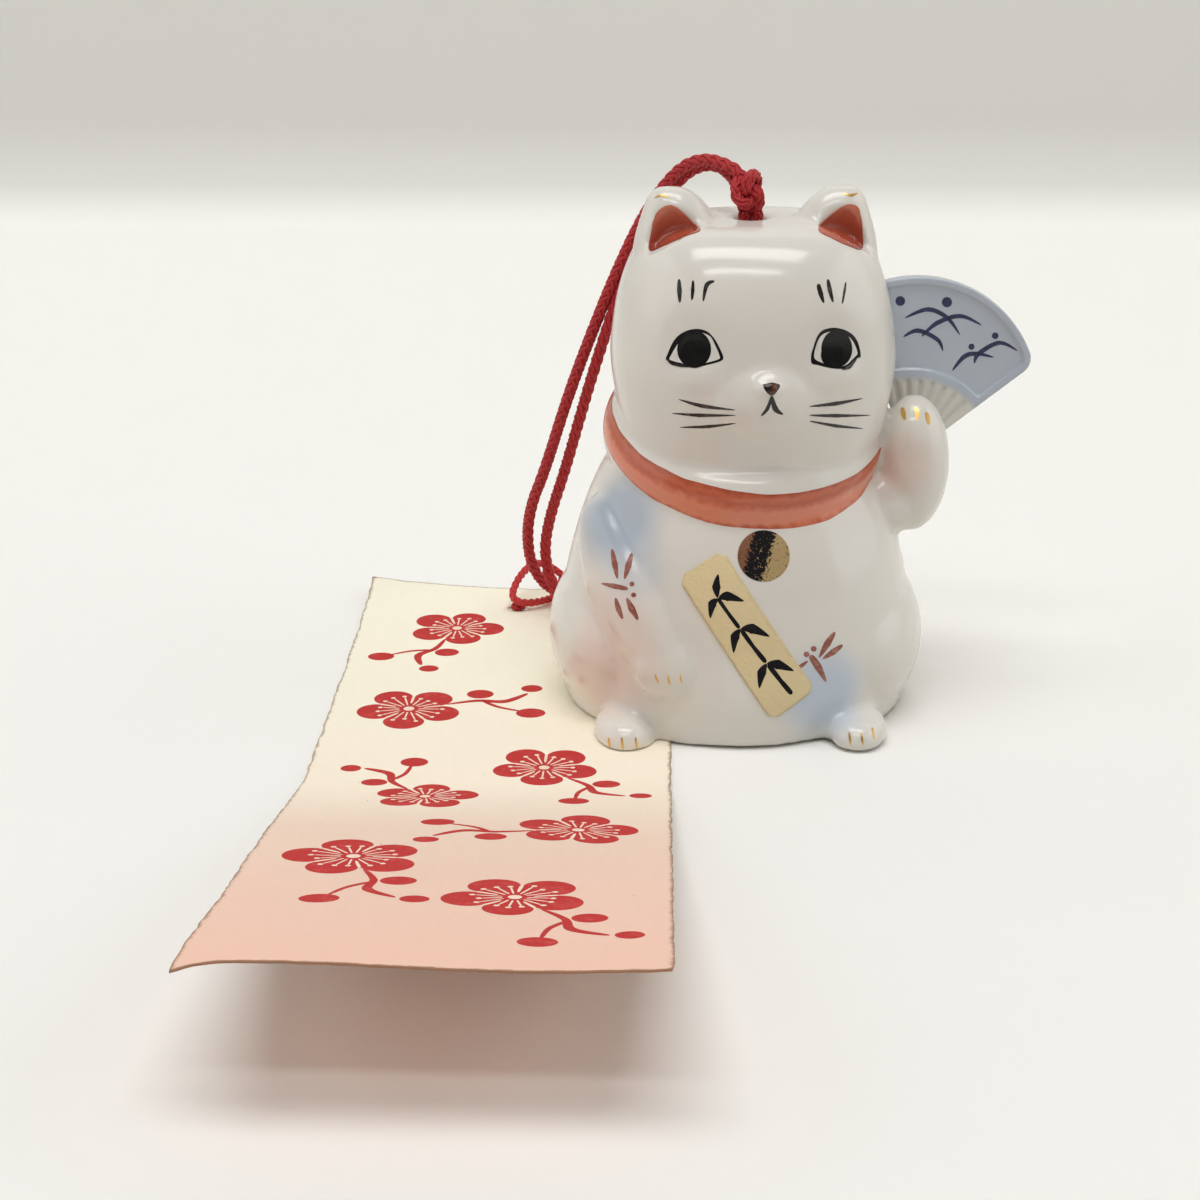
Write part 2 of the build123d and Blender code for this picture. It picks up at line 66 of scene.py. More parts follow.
Pixel = tuple[float, float]
Place = tuple[float, float, float]
Colour = tuple[float, float, float, float]
Socket = bpy.types.NodeSocket


class Body(str, Enum):
    """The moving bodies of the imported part."""

    BELL = "bell"
    HITCH = "hitch"
    CLAPPER = "clapper"
    STRIP_TIE = "strip_tie"
    STRIP = "strip"


class Slot(str, Enum):
    """The record's material slots."""

    PORCELAIN = "porcelain"
    FAN_GLAZE = "fan_glaze"
    LABEL_PAPER = "label_paper"
    CORD = "cord"
    STRING = "string"
    STRIP_PAPER = "strip_paper"


def linear(code: str) -> Colour:
    """Turn an sRGB hex value, written #rrggbb, into a linear colour with full alpha.

    Args:
        code: the hex value.

    Returns:
        Its red, green, blue and alpha.
    """
    parts = [int(code[i : i + 2], 16) / 255 for i in (1, 3, 5)]
    lit = [c / 12.92 if c <= 0.04045 else ((c + 0.055) / 1.055) ** 2.4 for c in parts]
    return (*lit, 1.0)


def set_ramp(node: bpy.types.Node, stops: Sequence[tuple[float, str]]) -> None:
    """Give a colour ramp its stops.

    Args:
        node: the ramp's node.
        stops: places from 0 to 1 with their hex colours.
    """
    ramp = node.color_ramp
    while len(ramp.elements) > 1:
        ramp.elements.remove(ramp.elements[-1])
    ramp.elements[0].position, ramp.elements[0].color = stops[0][0], linear(stops[0][1])
    for place, code in stops[1:]:
        ramp.elements.new(place).color = linear(code)


class Nodes:
    """The shader nodes of one material, with places in millimetres."""

    def __init__(self, tree: bpy.types.NodeTree) -> None:
        """Start from the object's own coordinates, brought to millimetres.

        Args:
            tree: the material's node tree.
        """
        self.tree = tree
        coords = self.add("TexCoord").node.outputs["Object"]
        self.place = self.add("VectorMath", {"Scale": 1 / MM}, {0: coords}, operation="SCALE")

    def fill(self, node: bpy.types.Node, values: dict | None = None, links: dict | None = None) -> None:
        """Set a node's sockets.

        Args:
            node: the node.
            values: constants for its sockets.
            links: output sockets that feed its sockets.
        """
        for key, value in (values or {}).items():
            node.inputs[key].default_value = value
        for key, source in (links or {}).items():
            self.tree.links.new(source, node.inputs[key])

    def add(
        self, kind: str, values: dict | None = None, links: dict | None = None, **settings: str | bool
    ) -> Socket:
        """Add one shader node.

        Args:
            kind: the node's type name, less its prefix.
            values: constants for its sockets.
            links: output sockets that feed its sockets.
            settings: the node's own properties.

        Returns:
            The node's first output in use.
        """
        made = self.tree.nodes.new("ShaderNode" + kind)
        for name, value in settings.items():
            setattr(made, name, value)
        self.fill(made, values, links)
        return next(out for out in made.outputs if out.enabled)

    def shade(self, values: dict, links: dict) -> None:
        """Set the Principled shader's sockets."""
        self.fill(self.tree.nodes["Principled BSDF"], values, links)


class Finish:
    """A material that is made once and then shared."""

    name: str

    def dress(self, nodes: Nodes) -> None:
        """Add the finish to a new material's nodes."""
        raise NotImplementedError

    def material(self) -> bpy.types.Material:
        """Return the material, made on first use.

        Returns:
            The material.
        """
        made = bpy.data.materials.get(self.name)
        if made is None:
            made = bpy.data.materials.new(self.name)
            made.use_nodes = True
            self.dress(Nodes(made.node_tree))
        return made


@dataclass(frozen=True)
class Tint:
    """A soft airbrushed cloud of colour under the glaze."""

    centre: Place
    radius: float
    code: str
    strength: float
    core: float = 0.35


@dataclass(frozen=True)
class GlazedPorcelain(Finish):
    """White porcelain, slip cast and dipped in clear glaze: bright, glassy, a little uneven."""

    name: str = "clear_glazed_porcelain"
    body_code: str = "#e8e4dc"
    shade_code: str = "#e0dbd2"
    cloud_mm: float = 22.0
    wave_mm: float = 7.0
    # The collar's red, with painted shade: lightest across its lower middle, darker towards its top under the
    # chin and along its edges
    collar_stops_with_painted_shade: tuple[tuple[float, str], ...] = (
        (0.00, "#bf5f43"), (0.12, "#e08767"), (0.48, "#df8364"), (0.60, "#cd6c4c"), (0.72, "#b9573b"),
        (0.86, "#c56747"), (1.00, "#a94f36")
    )
    collar_top: tuple[float, float, float, float] = (50.85, -0.073, 0.320, 0.320)
    collar_bottom: tuple[float, float, float, float] = (46.99, -0.077, 0.432, 0.250)
    collar_centre_x: float = 0.8
    collar_inner: float = 21.6
    collar_outer: float = 26.4
    collar_end_x: float = 24.1
    collar_end_z: float = 47.0
    collar_end_lean: float = 0.3
    wobble_mm: float = 6.0
    streak_mm: float = 1.6
    tints: tuple[Tint, ...] = (
        Tint((-20.5, -15.0, 36.0), 11.0, "#a6b2c0", 0.90), Tint((-17.5, -20.0, 29.5), 8.0, "#b6c2d0", 0.40),
        Tint((13.5, -25.5, 9.0), 10.5, "#bccada", 0.85), Tint((-21.0, -21.0, 17.0), 13.0, "#e2c6ba", 0.50),
        Tint((-24.0, -18.0, 8.0), 10.0, "#e2c3b5", 0.50), Tint((27.0, -10.0, 44.0), 8.0, "#dfc4b8", 0.60)
    )

    def edge(self, nodes: Nodes, axes: Sequence[Socket], plane: Sequence[float]) -> Socket:
        """Return the height of one painted collar edge at each place.

        Args:
            nodes: the material's nodes.
            axes: the place's x, y and z.
            plane: its height, slope across, slope in front and slope behind.

        Returns:
            The socket that holds the height.
        """
        height, across, ahead, behind = plane
        total = nodes.add("Math", {1: across, 2: height}, {0: axes[0]}, operation="MULTIPLY_ADD")
        for half, slope in (("MINIMUM", ahead), ("MAXIMUM", behind)):
            reach = nodes.add("Math", {1: 0.0}, {0: axes[1]}, operation=half)
            total = nodes.add("Math", {1: slope}, {0: reach, 2: total}, operation="MULTIPLY_ADD")
        return total

    def tinted(self, nodes: Nodes) -> Socket:
        """Return the colour of the white body with its tints.

        Args:
            nodes: the material's nodes.

        Returns:
            The socket that holds the colour.
        """
        cloud = nodes.add("TexNoise", {"Scale": 1 / self.cloud_mm, "Detail": 3.0}, {"Vector": nodes.place})
        tones = {"A": linear(self.body_code), "B": linear(self.shade_code)}
        colour = nodes.add("Mix", tones, {"Factor": cloud}, data_type="RGBA")
        for tint in self.tints:
            gap = nodes.add("VectorMath", {1: tint.centre}, {0: nodes.place}, operation="DISTANCE")
            span = {"From Min": tint.radius, "From Max": tint.core * tint.radius, "To Max": tint.strength}
            share = nodes.add("MapRange", span, {"Value": gap}, interpolation_type="SMOOTHSTEP")
            colour = nodes.add(
                "Mix", {"B": linear(tint.code)}, {"Factor": share, "A": colour}, data_type="RGBA"
            )
        return colour

    def collar(self, nodes: Nodes) -> tuple[Socket, Socket]:
        """Return the share of the painted collar at each place, and its colour, which holds painted shade.

        Args:
            nodes: the material's nodes.

        Returns:
            The sockets that hold the share and the colour.
        """
        axes = nodes.add("SeparateXYZ", links={0: nodes.place}).node.outputs
        wobble = nodes.add("TexNoise", {"Scale": 1 / self.wobble_mm, "Detail": 1.0}, {"Vector": nodes.place})
        shift = nodes.add("Math", {1: 0.5, 2: -0.25}, {0: wobble}, operation="MULTIPLY_ADD")
        height = nodes.add("Math", links={0: axes[2], 1: shift}, operation="ADD")
        edges = {
            "From Min": self.edge(nodes, axes, self.collar_bottom),
            "From Max": self.edge(nodes, axes, self.collar_top)
        }
        across = nodes.add("MapRange", links={"Value": height, **edges}, clamp=False)
        flat = {1: (1.0, 1.0, 0.0), 2: (-self.collar_centre_x, 0.0, 0.0)}
        level = nodes.add("VectorMath", flat, {0: nodes.place}, operation="MULTIPLY_ADD")
        reach = nodes.add("VectorMath", links={0: level}, operation="LENGTH")
        slant = {1: -self.collar_end_lean, 2: self.collar_end_lean * self.collar_end_z}
        lean = nodes.add("Math", slant, {0: axes[2]}, operation="MULTIPLY_ADD")
        end = nodes.add("Math", links={0: axes[0], 1: lean}, operation="ADD")
        band = nodes.add("Math", {1: 0.0}, {0: across}, operation="GREATER_THAN")
        for value, limit, test in (
            (across, 1.0, "LESS_THAN"), (reach, self.collar_inner, "GREATER_THAN"),
            (reach, self.collar_outer, "LESS_THAN"), (end, self.collar_end_x, "LESS_THAN")
        ):
            within = nodes.add("Math", {1: limit}, {0: value}, operation=test)
            band = nodes.add("Math", links={0: band, 1: within}, operation="MULTIPLY")
        grain = {"Scale": 1 / self.streak_mm, "Detail": 3.0, "Roughness": 0.6}
        streak = nodes.add("TexNoise", grain, {"Vector": nodes.place})
        stretch = nodes.add("Math", {1: 0.30, 2: -0.15}, {0: streak}, operation="MULTIPLY_ADD")
        brush = nodes.add("Math", links={0: across, 1: stretch}, operation="ADD")
        # Painted shade on the band: darker towards the chin and along its edges
        paint = nodes.add("ValToRGB", links={0: brush})
        set_ramp(paint.node, self.collar_stops_with_painted_shade)
        return band, paint

    def dress(self, nodes: Nodes) -> None:
        """Add the tinted body, the painted collar band with its painted shade, and the glaze.

        Args:
            nodes: the material's nodes.
        """
        band, paint = self.collar(nodes)
        colour = nodes.add(
            "Mix", links={"Factor": band, "A": self.tinted(nodes), "B": paint}, data_type="RGBA"
        )
        # A clear glaze lies in slow waves a few millimetres long
        wave = nodes.add("TexNoise", {"Scale": 1 / self.wave_mm, "Detail": 1.0}, {"Vector": nodes.place})
        bump = nodes.add("Bump", {"Strength": 0.10, "Distance": 0.0004}, {"Height": wave})
        gloss = {"Roughness": 0.19, "IOR": GLASS_IOR, "Coat Weight": 0.2, "Coat Roughness": 0.08}
        nodes.shade(gloss, {"Base Color": colour, "Normal": bump})


@dataclass(frozen=True)
class FanGlaze(Finish):
    """The fan's porcelain: a pale blue leaf, with white where the ribs stand and along the rim."""

    name: str = "pale_blue_glaze"
    leaf_code: str = "#bcc3cc"
    deep_code: str = "#aeb7c5"
    white_code: str = "#d8d4cc"
    pool_mm: float = 9.0
    pivot: Place = (29.8, 0.0, 42.0)
    leaf_from: float = 13.7
    leaf_to: float = 15.0

    def dress(self, nodes: Nodes) -> None:
        """Add the leaf's blue outside the ribs, pooled a little at random.

        Args:
            nodes: the material's nodes.
        """
        pool = nodes.add("TexNoise", {"Scale": 1 / self.pool_mm, "Detail": 2.0}, {"Vector": nodes.place})
        tones = {"A": linear(self.leaf_code), "B": linear(self.deep_code)}
        blue = nodes.add("Mix", tones, {"Factor": pool}, data_type="RGBA")
        flat = nodes.add("VectorMath", {1: (1.0, 0.0, 1.0)}, {0: nodes.place}, operation="MULTIPLY")
        reach = nodes.add("VectorMath", {1: self.pivot}, {0: flat}, operation="DISTANCE")
        span = {"From Min": self.leaf_from, "From Max": self.leaf_to}
        leaf = nodes.add("MapRange", span, {"Value": reach}, interpolation_type="SMOOTHSTEP")
        glaze = nodes.add(
            "Mix", {"A": linear(self.white_code)}, {"Factor": leaf, "B": blue}, data_type="RGBA"
        )
        gloss = {"Roughness": 0.16, "IOR": GLASS_IOR, "Coat Weight": 0.25, "Coat Roughness": 0.05}
        nodes.shade(gloss, {"Base Color": glaze})


@dataclass(frozen=True)
class Enamel(Finish):
    """Overglaze enamel put on with a brush: glossy, thin in places."""

    name: str
    code: str
    thin_code: str
    roughness: float = 0.18
    stroke_mm: float = 1.2

    def dress(self, nodes: Nodes) -> None:
        """Add colour that thins where the brush lifted.

        Args:
            nodes: the material's nodes.
        """
        thin = nodes.add("TexNoise", {"Scale": 1 / self.stroke_mm, "Detail": 3.0}, {"Vector": nodes.place})
        span = {"From Min": 0.42, "From Max": 0.75}
        share = nodes.add("MapRange", span, {"Value": thin}, interpolation_type="SMOOTHSTEP")
        tones = {"A": linear(self.code), "B": linear(self.thin_code)}
        tone = nodes.add("Mix", tones, {"Factor": share}, data_type="RGBA")
        nodes.shade({"Roughness": self.roughness, "IOR": GLASS_IOR}, {"Base Color": tone})


@dataclass(frozen=True)
class EnamelWithPaintedLight(Finish):
    """Enamel that goes from one tone low down to another higher up, as painted light and shade: painted shade
    low in an ear lining's hollow, a painted highlight high on an iris.
    """

    name: str
    stops: tuple[tuple[float, str], ...]
    low_mm: float
    high_mm: float
    roughness: float = 0.2
    blot_mm: float = 1.5
    blot_shift: float = 1.6

    def dress(self, nodes: Nodes) -> None:
        """Add a ramp from the low tone to the high one, broken up by the brush; the ramp is painted light and
        shade.

        Args:
            nodes: the material's nodes.
        """
        axes = nodes.add("SeparateXYZ", links={0: nodes.place}).node.outputs
        blot = nodes.add("TexNoise", {"Scale": 1 / self.blot_mm, "Detail": 3.0}, {"Vector": nodes.place})
        height = nodes.add("Math", {1: self.blot_shift}, {0: blot, 2: axes[2]}, operation="MULTIPLY_ADD")
        level = nodes.add("MapRange", {"From Min": self.low_mm, "From Max": self.high_mm}, {"Value": height})
        tone = nodes.add("ValToRGB", links={0: level})
        set_ramp(tone.node, self.stops)
        nodes.shade({"Roughness": self.roughness, "IOR": GLASS_IOR}, {"Base Color": tone})


@dataclass(frozen=True)
class GoldLustre(Finish):
    """Bright gold lustre, fired on thin and rubbed through to dark specks of wear; along a band the specks
    gather thickly, with darker gold to one side, as a painted dark reflection.
    """

    name: str
    code: str
    wear_and_reflection_from: float
    thin_code: str = "#dcae62"
    wear_and_reflection_code: str = "#2a2a2e"
    wear_and_reflection_soft: float = 0.04
    speck_mm: float = 1.5
    reflection_band_at: Place = (0.0, 0.0, 0.0)
    reflection_band_normal: Place = (0.0, 0.0, 0.0)
    reflection_band_gain: float = 0.0
    reflection_band_mm: float = 3.4

    def dress(self, nodes: Nodes) -> None:
        """Add gold with dark specks of wear, and a painted reflection: dark specks gathered along the band
        and darker gold to one side of it.

        Args:
            nodes: the material's nodes.
        """
        grain = {"Scale": 1 / self.speck_mm, "Detail": 4.0, "Roughness": 0.7}
        wear = nodes.add("TexNoise", grain, {"Vector": nodes.place})
        # Painted reflection: dark specks gather along a band across the disc, and the gold darkens to one
        # side of it
        offset = nodes.add("VectorMath", {1: self.reflection_band_at}, {0: nodes.place}, operation="SUBTRACT")
        aside = nodes.add("VectorMath", {1: self.reflection_band_normal}, {0: offset}, operation="DOT_PRODUCT")
        away = nodes.add("Math", links={0: aside}, operation="ABSOLUTE")
        span = {"From Min": self.reflection_band_mm, "From Max": 0.3 * self.reflection_band_mm, "To Max": self.reflection_band_gain}
        reflection_crowd = nodes.add("MapRange", span, {"Value": away}, interpolation_type="SMOOTHSTEP")
        depth = nodes.add("Math", links={0: wear, 1: reflection_crowd}, operation="ADD")
        span = {"From Min": self.wear_and_reflection_from - self.wear_and_reflection_soft, "From Max": self.wear_and_reflection_from + self.wear_and_reflection_soft}
        wear_and_reflection = nodes.add("MapRange", span, {"Value": depth}, interpolation_type="SMOOTHSTEP")
        thin = nodes.add("MapRange", {"From Min": 0.6, "From Max": -1.2}, {"Value": aside})
        tones = {"A": linear(self.code), "B": linear(self.thin_code)}
        gold = nodes.add("Mix", tones, {"Factor": thin}, data_type="RGBA")
        tone = nodes.add("Mix", {"B": linear(self.wear_and_reflection_code)}, {"Factor": wear_and_reflection, "A": gold}, data_type="RGBA")
        rough = nodes.add("MapRange", {"To Min": 0.22, "To Max": 0.42}, {"Value": wear})
        # The film is so thin that some of the white body shows through it
        nodes.shade({"Metallic": 0.8}, {"Base Color": tone, "Roughness": rough})


@dataclass(frozen=True)
class PaperStock(Finish):
    """Uncoated paper: matt, with a soft tooth, darker along its cut edges: browned by wear on the strip,
    painted shade on the tag.
    """

    name: str
    stops: tuple[tuple[float, str], ...]
    near_mm: float
    far_mm: float
    edge_browning_and_shade_code: str = "#9a7b58"
    tooth_mm: float = 0.9
    drift_mm: float = 30.0
    drift_shift: float = 24.0
    edge_grime_and_shade_mm: float = 2.2
    glow: float = 0.0
    through_code: str = "#ff6c48"
    clear_mm: tuple[float, float] = (0.5, 7.0)

    def dress(self, nodes: Nodes) -> None:
        """Add the paper's tone, changing along it, its darker edges and its tooth.

        Args:
            nodes: the material's nodes.
        """
        axes = nodes.add("SeparateXYZ", links={0: nodes.place}).node.outputs
        drift = nodes.add("TexNoise", {"Scale": 1 / self.drift_mm, "Detail": 2.0}, {"Vector": nodes.place})
        far = nodes.add("Math", {1: self.drift_shift}, {0: drift, 2: axes[1]}, operation="MULTIPLY_ADD")
        middle = self.drift_shift / 2
        span = {"From Min": self.near_mm + middle, "From Max": self.far_mm + middle}
        level = nodes.add("MapRange", span, {"Value": far})
        tone = nodes.add("ValToRGB", links={0: level})
        set_ramp(tone.node, self.stops)
        rim = nodes.add("Attribute", attribute_name="rim_mm").node.outputs["Fac"]
        # Darker along the cut edges: browned by wear on the strip, painted shade on the tag
        grain = {"Scale": 1 / self.edge_grime_and_shade_mm, "Detail": 5.0, "Roughness": 0.7}
        edge_grime_and_shade = nodes.add("TexNoise", grain, {"Vector": nodes.place})
        depth = nodes.add("Math", {1: 2.6, 2: -0.75}, {0: edge_grime_and_shade}, operation="MULTIPLY_ADD")
        fade = {"From Max": 0.0, "To Min": 0.0, "To Max": 0.85}
        edge_browning_and_shade = nodes.add("MapRange", fade, {"Value": rim, "From Min": depth})
        colour = nodes.add(
            "Mix", {"B": linear(self.edge_browning_and_shade_code)}, {"Factor": edge_browning_and_shade, "A": tone}, data_type="RGBA"
        )
        grain = {"Scale": 1 / self.tooth_mm, "Detail": 4.0, "Roughness": 0.6}
        tooth = nodes.add("TexNoise", grain, {"Vector": nodes.place})
        bump = nodes.add("Bump", {"Strength": 0.8, "Distance": 0.00025}, {"Height": tooth})
        nodes.shade({"Roughness": 0.88, "Specular IOR Level": 0.25}, {"Base Color": colour, "Normal": bump})
        if self.glow:
            # Thin paper lets some light through where it stands clear of the table
            low, high = self.clear_mm
            span = {"From Min": low, "From Max": high, "To Max": self.glow}
            clear = nodes.add("MapRange", span, {"Value": axes[2]})
            through = nodes.add("BsdfTranslucent", {"Color": linear(self.through_code)})
            matt = nodes.tree.nodes["Principled BSDF"].outputs[0]
            sheet = nodes.add("MixShader", links={0: clear, 1: matt, 2: through})
            nodes.fill(nodes.tree.nodes["Material Output"], links={"Surface": sheet})


@dataclass(frozen=True)
class PrintInk(Finish):
    """Water-based block ink: matt, mottled by the paper's tooth."""

    name: str
    code: str
    pale_code: str
    tooth_mm: float = 2.4

    def dress(self, nodes: Nodes) -> None:
        """Add ink that is paler where it missed the paper's hollows.

        Args:
            nodes: the material's nodes.
        """
        grain = {"Scale": 1 / self.tooth_mm, "Detail": 6.0, "Roughness": 0.75}
        miss = nodes.add("TexNoise", grain, {"Vector": nodes.place})
        share = nodes.add("MapRange", {"From Min": 0.52, "From Max": 0.74}, {"Value": miss})
        tones = {"A": linear(self.code), "B": linear(self.pale_code)}
        tone = nodes.add("Mix", tones, {"Factor": share}, data_type="RGBA")
        nodes.shade({"Roughness": 0.9, "Specular IOR Level": 0.2}, {"Base Color": tone})


@dataclass(frozen=True)
class DyedThread(Finish):
    """Dyed rayon thread: a soft sheen along each strand, with painted shade darker down in the crossings."""

    name: str
    code: str
    hollow_shade_code: str
    thread_mm: float = 0.22

    def dress(self, nodes: Nodes) -> None:
        """Add fine fibres, drawn a little coarse so that they show, and painted shade in the hollows.

        Args:
            nodes: the material's nodes.
        """
        grain = {"Scale": 1 / self.thread_mm, "Detail": 3.0, "Roughness": 0.6}
        fibre = nodes.add("TexNoise", grain, {"Vector": nodes.place})
        # Painted shade: yarn that lies deeper, under the yarn crossing it, is darker
        sunk = nodes.add("Attribute", attribute_name="sunk").node.outputs["Fac"]
        depth = nodes.add("Math", {1: 0.35}, {0: fibre, 2: sunk}, operation="MULTIPLY_ADD")
        share = nodes.add("MapRange", {"From Min": 0.12, "From Max": 0.85}, {"Value": depth})
        tones = {"A": linear(self.code), "B": linear(self.hollow_shade_code)}
        tone = nodes.add("Mix", tones, {"Factor": share}, data_type="RGBA")
        bump = nodes.add("Bump", {"Strength": 0.5, "Distance": 0.0001}, {"Height": fibre})
        sheen = {"Roughness": 0.55, "Sheen Weight": 0.1, "Sheen Roughness": 0.4}
        nodes.shade(sheen, {"Base Color": tone, "Normal": bump})


@dataclass(frozen=True)
class BisqueClay(Finish):
    """Unglazed fired clay: matt and finely gritty."""

    name: str = "bisque_clay"
    code: str = "#d6c8b4"
    speck_code: str = "#b59f84"
    grit_mm: float = 0.7

    def dress(self, nodes: Nodes) -> None:
        """Add grit as specks and a fine bump.

        Args:
            nodes: the material's nodes.
        """
        grain = {"Scale": 1 / self.grit_mm, "Detail": 6.0, "Roughness": 0.7}
        grit = nodes.add("TexNoise", grain, {"Vector": nodes.place})
        share = nodes.add("MapRange", {"From Min": 0.5, "From Max": 0.72}, {"Value": grit})
        tones = {"A": linear(self.code), "B": linear(self.speck_code)}
        tone = nodes.add("Mix", tones, {"Factor": share}, data_type="RGBA")
        bump = nodes.add("Bump", {"Strength": 0.3, "Distance": 0.0002}, {"Height": grit})
        nodes.shade({"Roughness": 0.8}, {"Base Color": tone, "Normal": bump})


@dataclass(frozen=True)
class PaleSweep(Finish):
    """A pale paper sweep under and behind the object, greyer up its back as painted shade."""

    name: str = "pale_paper_sweep"
    floor_code: str = "#f7f6f2"
    back_shade_code: str = "#e8e7e2"
    bounce_code: str = "#e6e4de"
    rise_mm: float = 12.0
    lift_from_mm: float = -80.0
    lift_to_mm: float = 420.0
    lift: float = 0.09

    def dress(self, nodes: Nodes) -> None:
        """Add the painted shade that greys it with height, and the tone for light that bounces off it.

        Args:
            nodes: the material's nodes.
        """
        axes = nodes.add("SeparateXYZ", links={0: nodes.place}).node.outputs
        # Painted shade: the sweep turns greyer as it rises from the floor
        rise = nodes.add("MapRange", {"From Max": self.rise_mm}, {"Value": axes[2]})
        tones = {"A": linear(self.floor_code), "B": linear(self.back_shade_code)}
        tone = nodes.add("Mix", tones, {"Factor": rise}, data_type="RGBA")
        path = nodes.add("LightPath").node.outputs
        seen = path["Is Camera Ray"]
        for ray in ("Is Glossy Ray", "Is Transmission Ray"):
            seen = nodes.add("Math", links={0: seen, 1: path[ray]}, operation="MAXIMUM")
        shown = nodes.add(
            "Mix", {"A": linear(self.bounce_code)}, {"Factor": seen, "B": tone}, data_type="RGBA"
        )
        # The far floor is lifted to the tone of the near floor, for what the camera sees alone
        span = {"From Min": self.lift_from_mm, "From Max": self.lift_to_mm, "To Max": self.lift}
        faint = nodes.add("MapRange", span, {"Value": axes[1]})
        low = nodes.add("Math", {0: 1.0}, {1: rise}, operation="SUBTRACT")
        far = nodes.add("Math", links={0: faint, 1: path["Is Camera Ray"]}, operation="MULTIPLY")
        glow = nodes.add("Math", links={0: far, 1: low}, operation="MULTIPLY")
        # Its hidden side lets the eye through, so it never stands before the object
        hidden = nodes.add("NewGeometry").node.outputs["Backfacing"]
        front = nodes.add("Math", {0: 1.0}, {1: hidden}, operation="SUBTRACT")
        matt = {"Emission Color": linear(self.floor_code), "Roughness": 0.7, "Specular IOR Level": 0.2}
        nodes.shade(matt, {"Base Color": shown, "Emission Strength": glow, "Alpha": front})


PORCELAIN = GlazedPorcelain()
FAN_BLUE = FanGlaze()
BLACK_ENAMEL = Enamel("black_brush_enamel", "#0a0909", "#141313", roughness=0.1)
GREY_ENAMEL = Enamel("grey_brush_enamel", "#1d1a18", "#4a4541")
WHITE_ENAMEL = Enamel("white_of_eye", "#e2ded7", "#d5d0c8")
NOSE_ENAMEL = Enamel("brown_nose_enamel", "#21120c", "#6a4226", stroke_mm=1.6)
RED_BROWN_ENAMEL = Enamel("red_brown_enamel", "#8f4d3e", "#b0796a", roughness=0.3, stroke_mm=0.9)
COBALT = Enamel("cobalt_blue", "#0c1243", "#1b2764", roughness=0.14)
# The iris goes from black to grey towards its top: a painted highlight
IRIS_WITH_PAINTED_HIGHLIGHT = EnamelWithPaintedLight("iris_enamel_with_painted_highlight", ((0.0, "#070707"), (0.55, "#0d0d0d"), (1.0, "#454240")), 66.5, 73.0)
# The ear linings darken towards the bottom of their hollows: painted shade
EAR_LINING_WITH_PAINTED_SHADE = EnamelWithPaintedLight(
    "ear_lining_enamel_with_painted_shade", ((0.0, "#8a3024"), (0.45, "#b4553f"), (1.0, "#cc7358")), 80.0, 88.0
)
# The disc's band of dark specks and its darker side are a painted reflection; the specks elsewhere are wear
GOLD_DISC_WITH_PAINTED_REFLECTION = GoldLustre(
    "gold_lustre_disc_with_painted_reflection", code="#f8d69c", thin_code="#b98261", wear_and_reflection_from=0.62, speck_mm=0.42,
    reflection_band_at=(2.9, -27.8, 34.6), reflection_band_normal=(0.95, 0.0, -0.31), reflection_band_gain=0.24, reflection_band_mm=2.7
)
GOLD_LINE = GoldLustre("gold_lustre_line", code="#e0b468", wear_and_reflection_from=0.72)
STRIP_PAPER = PaperStock(
    "tinted_strip_paper",
    ((0.0, "#ffdcc6"), (0.25, "#fee3cf"), (0.50, "#fef0dc"), (0.75, "#fff8e4"), (1.0, "#fff9e4")), -152.0,
    50.0, glow=0.17
)
# The tag's darker outline is painted shade along its edges
TAG_PAPER = PaperStock("cream_tag_paper_with_painted_edge_shade", ((0.0, "#e4d0a2"), (1.0, "#e8d5aa")), -60.0, 0.0, "#d3bf92", 0.6)
RED_INK = PrintInk("red_block_ink", "#c23a38", "#d45a54")
BARE_PAPER = PrintInk("bare_paper_lines", "#f6e0cd", "#f0cfbd")
BLACK_INK = PrintInk("black_brush_ink", "#17151a", "#2d2a2c")
CRIMSON_THREAD = DyedThread("crimson_rayon_thread", "#bd2228", "#4c080d")
RED_THREAD = DyedThread("red_rayon_thread", "#cb3032", "#751214")
CLAY = BisqueClay()
SWEEP = PaleSweep()


def show(name: str, data: bpy.types.ID) -> bpy.types.Object:
    """Put data in the scene as a new object at the origin.

    Args:
        name: the object's name.
        data: its mesh, curve, light or camera.

    Returns:
        The object.
    """
    made = bpy.data.objects.new(name, data)
    bpy.context.scene.collection.objects.link(made)
    return made


def new_piece(name: str, mesh: bpy.types.Mesh, finish: Finish) -> bpy.types.Object:
    """Put a mesh in the scene as a smooth, dressed object.

    Args:
        name: the piece's name.
        mesh: its mesh, in place.
        finish: its finish.

    Returns:
        The object.
    """
    mesh.name = name
    mesh.materials.clear()
    mesh.materials.append(finish.material())
    mesh.polygons.foreach_set("use_smooth", [True] * len(mesh.polygons))
    return show(name, mesh)


def settle(piece: bpy.types.Object, body: Body, slot: Slot, *nodes: str) -> bpy.types.Object:
    """Ride a piece on a body and hide the solids it stands for.

    Args:
        piece: the piece.
        body: the body that carries it.
        slot: the record's material slot; not used.
        nodes: the CAD nodes that it replaces.

    Returns:
        The piece.
    """
    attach(piece, body.value)
    if nodes:
        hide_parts(*nodes)
    LOG.info("%s rides on %s, %d faces", piece.name, body.value, len(piece.data.polygons))
    return piece


def flex(piece: bpy.types.Object, bodies: tuple[Body, Body], node: str) -> None:
    """Fix a piece of string where it lies, hide the solid it stands for and log the two bodies that it runs
    between.

    Args:
        piece: the piece.
        bodies: the body at each end.
        node: the CAD node that it replaces.
    """
    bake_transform(piece)
    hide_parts(node)
    LOG.info("%s bends from %s to %s", piece.name, bodies[0].value, bodies[1].value)


